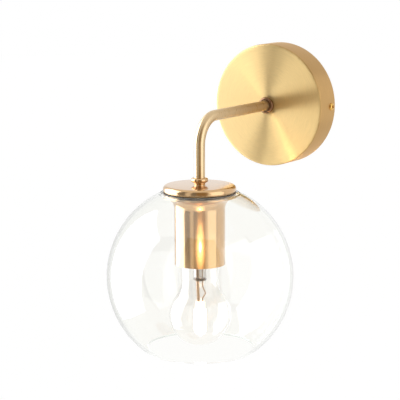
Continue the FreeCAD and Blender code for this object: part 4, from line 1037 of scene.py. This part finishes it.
class SCONCE_OT_lamp_cap(bpy.types.Operator):
    """Make the lamp's rolled screw shell and finish its contact"""

    bl_idname = "sconce.lamp_cap"
    bl_label = "Lamp cap"

    def execute(self, context):
        sizes = context.scene.sconce_sizes
        shell = plain_finish("nickel_plated_shell")
        crest, foot, top = (high("bulb_screw_shell", "x"), low("bulb_screw_shell", "z"),
                            high("bulb_screw_shell", "z"))
        root, wall, collar = crest - 0.9 * MM, 0.35 * MM, 5.2 * MM
        outline = rounded([
            (root - wall, top - wall), (root - wall, foot + collar), (crest - wall, foot + collar),
            (crest - wall, foot), (crest, foot), (crest, foot + collar, 0.8 * MM),
            (root, foot + collar + 0.6 * MM, 0.4 * MM), (root, top, 1.2 * MM),
            (root - 2 * MM, top), (root - 2 * MM, top - wall)])
        sleeve = turned("lamp_shell", outline, segments=120)
        pitch = sizes.thread_pitch
        ridge = grown("lamp_thread", helix_tree(), {
            "Coil_radius": crest - 1.25 * MM, "Pitch": pitch,
            "Turns": (top - foot - collar - 3.2 * MM) / pitch, "Wire_radius": 1.2 * MM,
            "Sides": 16, "Material": shell})
        ridge.transform(Matrix.Translation(on_axis(foot + collar + 1.7 * MM)))
        cap = joined([sleeve, ridge])
        cap.materials.clear()
        piece("lamp_screw_shell", cap, shell, "lamp", "nickel_shell", "bulb_screw_shell")
        finish_node("bulb_insulator", plain_finish("black_vitrite"))
        finish_node("bulb_contact", plain_finish("tin_solder"))
        return {"FINISHED"}


# ---------------------------------------------------------------- stage

# The camera's place, fitted to the outlines of the plate, arm, cap, cup and globe.
CAMERA_AZIMUTH = math.radians(33.29)
CAMERA_ELEVATION = math.radians(10.09)
CAMERA_ROLL = math.radians(-0.26)
CAMERA_DISTANCE = 1.5931
CAMERA_TARGET = Vector((-0.05041, -0.07768, -0.09506))
IMAGE_PIXELS = 400
FOCAL_PIXELS = 1568.2
STUDIO_CENTRE = Vector((0, LAMP_Y / 2, -0.08))
FLOOR_LEVEL, FLOOR_RADIUS = -1.3, 16
# The share of the floor's own white that hides the horizon and still leaves a shadow.
FLOOR_GLOW = 0.85

# Softboxes and screens: azimuth and elevation in degrees, distance, width and height in metres.
LEFT_BOX = (-71, 6, 1.6, 1.94, 2.75)
RIGHT_BOX = (89, 9, 1.6, 1.35, 2.1)
# A screen's level and colour follow. Each one gives the brass one of its bands.
SCREENS = {
    "grey_screen": (9, 8, 2.6, 5.9, 6, 0.28, "#ffffff"),
    "dark_screen": (40, 8, 2.3, 1.45, 5, 0.36, "#ffddaa"),
    "pale_card": (-3, 8, 2.2, 0.66, 5, 0.95, "#ffffff"),
    "left_screen": (-115, 6, 1.7, 0.85, 2.9, 0.9, "#ffffff"),
    "right_screen": (114, 9, 1.6, 0.1, 2.1, 0.35, "#ffffff"),
}


def background_rays(tree):
    """1 for the rays that should see a white background: camera, mirror and glass rays."""
    rays = add(tree, "ShaderNodeLightPath").outputs
    seen = add(tree, "ShaderNodeMath", {0: rays["Is Camera Ray"], 1: rays["Is Glossy Ray"]},
               operation="MAXIMUM")
    return add(tree, "ShaderNodeMath", {0: seen, 1: rays["Is Transmission Ray"]},
               operation="MAXIMUM").outputs[0]


def direction(azimuth, elevation):
    """The way from the object to something at an azimuth and elevation in degrees."""
    a, e = math.radians(azimuth), math.radians(elevation)
    return Vector((math.sin(a) * math.cos(e), -math.cos(a) * math.cos(e), math.sin(e)))


def facing(place, target):
    """A turn that points -Z from a place at a target, with Y up."""
    return (target - place).to_track_quat("-Z", "Y")


def softbox(name, azimuth, elevation, distance, width, height, level, tint):
    """A large soft lamp whose surface has a given brightness."""
    data = bpy.data.lights.new(name, "AREA")
    data.shape, data.size, data.size_y = "RECTANGLE", width, height
    data.energy = level * math.pi * width * height
    data.color = linear(tint)[:3]
    item = new_object(name, data)
    item.location = STUDIO_CENTRE + direction(azimuth, elevation) * distance
    item.rotation_mode = "QUATERNION"
    item.rotation_quaternion = facing(item.location, STUDIO_CENTRE)
    item.visible_camera = False
    return item


def small_lamp(name, place, radius, watts):
    """A small warm lamp that only surfaces show."""
    data = bpy.data.lights.new(name, "POINT")
    data.color = linear("#ffe0bc")[:3]
    data.energy = watts
    data.shadow_soft_size = radius
    item = new_object(name, data)
    item.location = place
    item.visible_camera = item.visible_transmission = False
    return item


def screen(name, azimuth, elevation, distance, width, height, level, tint):
    """A grey studio screen beside the camera. It shows only in reflections, and casts no shadow."""
    material = bpy.data.materials.new(name + "_cloth")
    tree = empty_tree(material)
    rays = add(tree, "ShaderNodeLightPath").outputs
    thrown = add(tree, "ShaderNodeMath", {0: rays["Glossy Depth"], 1: 0.5},
                 operation="GREATER_THAN")
    gone = add(tree, "ShaderNodeBsdfTransparent", {"Color": (1, 1, 1, 1)})
    cloth = add(tree, "ShaderNodeEmission", {"Color": linear(tint), "Strength": level})
    both = add(tree, "ShaderNodeMixShader", {0: thrown, 1: gone, 2: cloth})
    add(tree, "ShaderNodeOutputMaterial", {"Surface": both})
    place = STUDIO_CENTRE + direction(azimuth, elevation) * distance
    turn = facing(place, STUDIO_CENTRE).to_matrix().to_4x4()
    mesh = bpy.data.meshes.new(name)
    corners = [(-width / 2, -height / 2, 0), (width / 2, -height / 2, 0),
               (width / 2, height / 2, 0), (-width / 2, height / 2, 0)]
    mesh.from_pydata(corners, [], [(0, 1, 2, 3)])
    mesh.transform(Matrix.Translation(place) @ turn)
    mesh.materials.append(material)
    item = new_object(name, mesh)
    item.visible_camera = item.visible_diffuse = item.visible_shadow = False
    return item


class SCONCE_OT_stage(bpy.types.Operator):
    """Make the floor, the studio light and the camera"""

    bl_idname = "sconce.stage"
    bl_label = "Stage"

    def execute(self, context):
        light = context.scene.sconce_light
        self.make_world(context, light)
        self.make_floor()
        # Brass mirrors the left softbox at its full level, and matt things get a plain level.
        bright = softbox("left_softbox", *LEFT_BOX, light.left_level, "#e2ebff")
        bright.visible_diffuse = False
        plain = softbox("left_fill", *LEFT_BOX, light.fill_level, "#f4f8ff")
        plain.visible_glossy = plain.visible_transmission = False
        softbox("right_softbox", *RIGHT_BOX, light.right_level, "#eef3ff")
        for name, place in SCREENS.items():
            screen(name, *place)
        self.make_glow()
        self.make_camera(context)
        context.scene.view_settings.view_transform = "Standard"
        return {"FINISHED"}

    def make_world(self, context, light):
        """A white room that camera, metal and glass see, and a plain level for matt things."""
        world = bpy.data.worlds.new("studio")
        context.scene.world = world
        tree = empty_tree(world)
        room = add(tree, "ShaderNodeBackground", {
            "Color": (1, 1, 1, 1), "Strength": light.room_level})
        white = add(tree, "ShaderNodeBackground", {"Color": (1, 1, 1, 1), "Strength": 1.0})
        both = add(tree, "ShaderNodeMixShader", {0: background_rays(tree), 1: room, 2: white})
        add(tree, "ShaderNodeOutputWorld", {"Surface": both})

    def make_floor(self):
        """A pale painted floor, well below the light. It keeps the object's shadow."""
        material, tree, shader = surface("pale_floor_paint", {"Roughness": 0.6})
        if tree:
            varied(tree, shader, soft_spots(tree, 1 / 3), linear("#f7f6f4"), 0.01, 0.6, 0.05)
            share = add(tree, "ShaderNodeMath", {0: background_rays(tree), 1: FLOOR_GLOW},
                        operation="MULTIPLY")
            white = add(tree, "ShaderNodeEmission", {"Color": (1, 1, 1, 1), "Strength": 1.05})
            both = add(tree, "ShaderNodeMixShader", {0: share, 1: shader, 2: white})
            feed(tree, output_of(tree), {"Surface": both})
        mesh = bpy.data.meshes.new("floor")
        work = bmesh.new()
        bmesh.ops.create_circle(work, cap_ends=True, radius=FLOOR_RADIUS, segments=96)
        bmesh.ops.translate(work, verts=work.verts, vec=(0, 0, FLOOR_LEVEL))
        work.to_mesh(mesh)
        work.free()
        mesh.materials.append(material)
        new_object("floor", mesh)

    def make_glow(self):
        """The filament's image, which the globe's wall throws back at the cup.

        A short render hardly ever finds that path, so a small warm lamp stands where it falls.
        """
        # Its place is fitted to the bright spot on the cup, a little right of the camera's way.
        way = direction(math.degrees(CAMERA_AZIMUTH) + 1.5, -10)
        level, reach = low("socket_cup", "z") + 21 * MM, 72 * MM
        image = small_lamp("filament_image", on_axis(level) + way * reach, 4.5 * MM, 0.8)
        cup = bpy.data.collections.new("lit_by_filament_image")
        cup.objects.link(bpy.data.objects["socket_cup_turned"])
        image.light_linking.receiver_collection = cup
        middle = (low("bulb_filament", "z") + high("bulb_filament", "z")) / 2
        small_lamp("filament_light", on_axis(middle), 3 * MM, 0.3)

    def make_camera(self, context):
        """The camera at the photograph's angle."""
        camera = bpy.data.cameras.new("camera")
        camera.sensor_width = 36
        camera.lens = camera.sensor_width * FOCAL_PIXELS / IMAGE_PIXELS
        camera.clip_start, camera.clip_end = 0.05, 60
        item = new_object("camera", camera)
        back = direction(math.degrees(CAMERA_AZIMUTH), math.degrees(CAMERA_ELEVATION))
        right = Vector((0, 0, 1)).cross(back).normalized()
        up = back.cross(right)
        across = right * math.cos(CAMERA_ROLL) + up * math.sin(CAMERA_ROLL)
        turn = Matrix((across, back.cross(across), back)).transposed().to_4x4()
        item.matrix_world = Matrix.Translation(CAMERA_TARGET + back * CAMERA_DISTANCE) @ turn
        context.scene.camera = item


# ---------------------------------------------------------------- panel and register


PIECES = (SCONCE_OT_wall_plate, SCONCE_OT_side_screws, SCONCE_OT_arm, SCONCE_OT_collars,
          SCONCE_OT_cap_and_cup, SCONCE_OT_globe, SCONCE_OT_lampholder, SCONCE_OT_wall_fixings,
          SCONCE_OT_lamp_glass, SCONCE_OT_lamp_burner, SCONCE_OT_lamp_cap, SCONCE_OT_stage)


class SCONCE_PT_panel(bpy.types.Panel):
    """Sizes, colours and pieces of the sconce"""

    bl_idname = "SCONCE_PT_panel"
    bl_label = "Globe wall sconce"
    bl_space_type = "VIEW_3D"
    bl_region_type = "UI"
    bl_category = "Sconce"

    def draw(self, context):
        for group in (context.scene.sconce_sizes, context.scene.sconce_colours,
                      context.scene.sconce_light):
            box = self.layout.box()
            for name in type(group).__annotations__:
                box.prop(group, name)
        for operator in PIECES:
            self.layout.operator(operator.bl_idname)


GROUPS = (("sconce_sizes", SconceSizes), ("sconce_colours", SconceColours),
          ("sconce_light", SconceLight))


def register():
    """Register the classes and hang the settings on the scene."""
    for kind in (SconceSizes, SconceColours, SconceLight, *PIECES, SCONCE_PT_panel):
        bpy.utils.register_class(kind)
    for name, kind in GROUPS:
        setattr(bpy.types.Scene, name, bpy.props.PointerProperty(type=kind))


def unregister():
    """Undo register."""
    for name, kind in GROUPS:
        delattr(bpy.types.Scene, name)
    for kind in (SCONCE_PT_panel, *reversed(PIECES), SconceLight, SconceColours, SconceSizes):
        bpy.utils.unregister_class(kind)


def main():
    """Make every piece and the stage."""
    register()
    for operator in PIECES:
        group, name = operator.bl_idname.split(".")
        getattr(getattr(bpy.ops, group), name)()


if __name__ == "__main__":
    main()
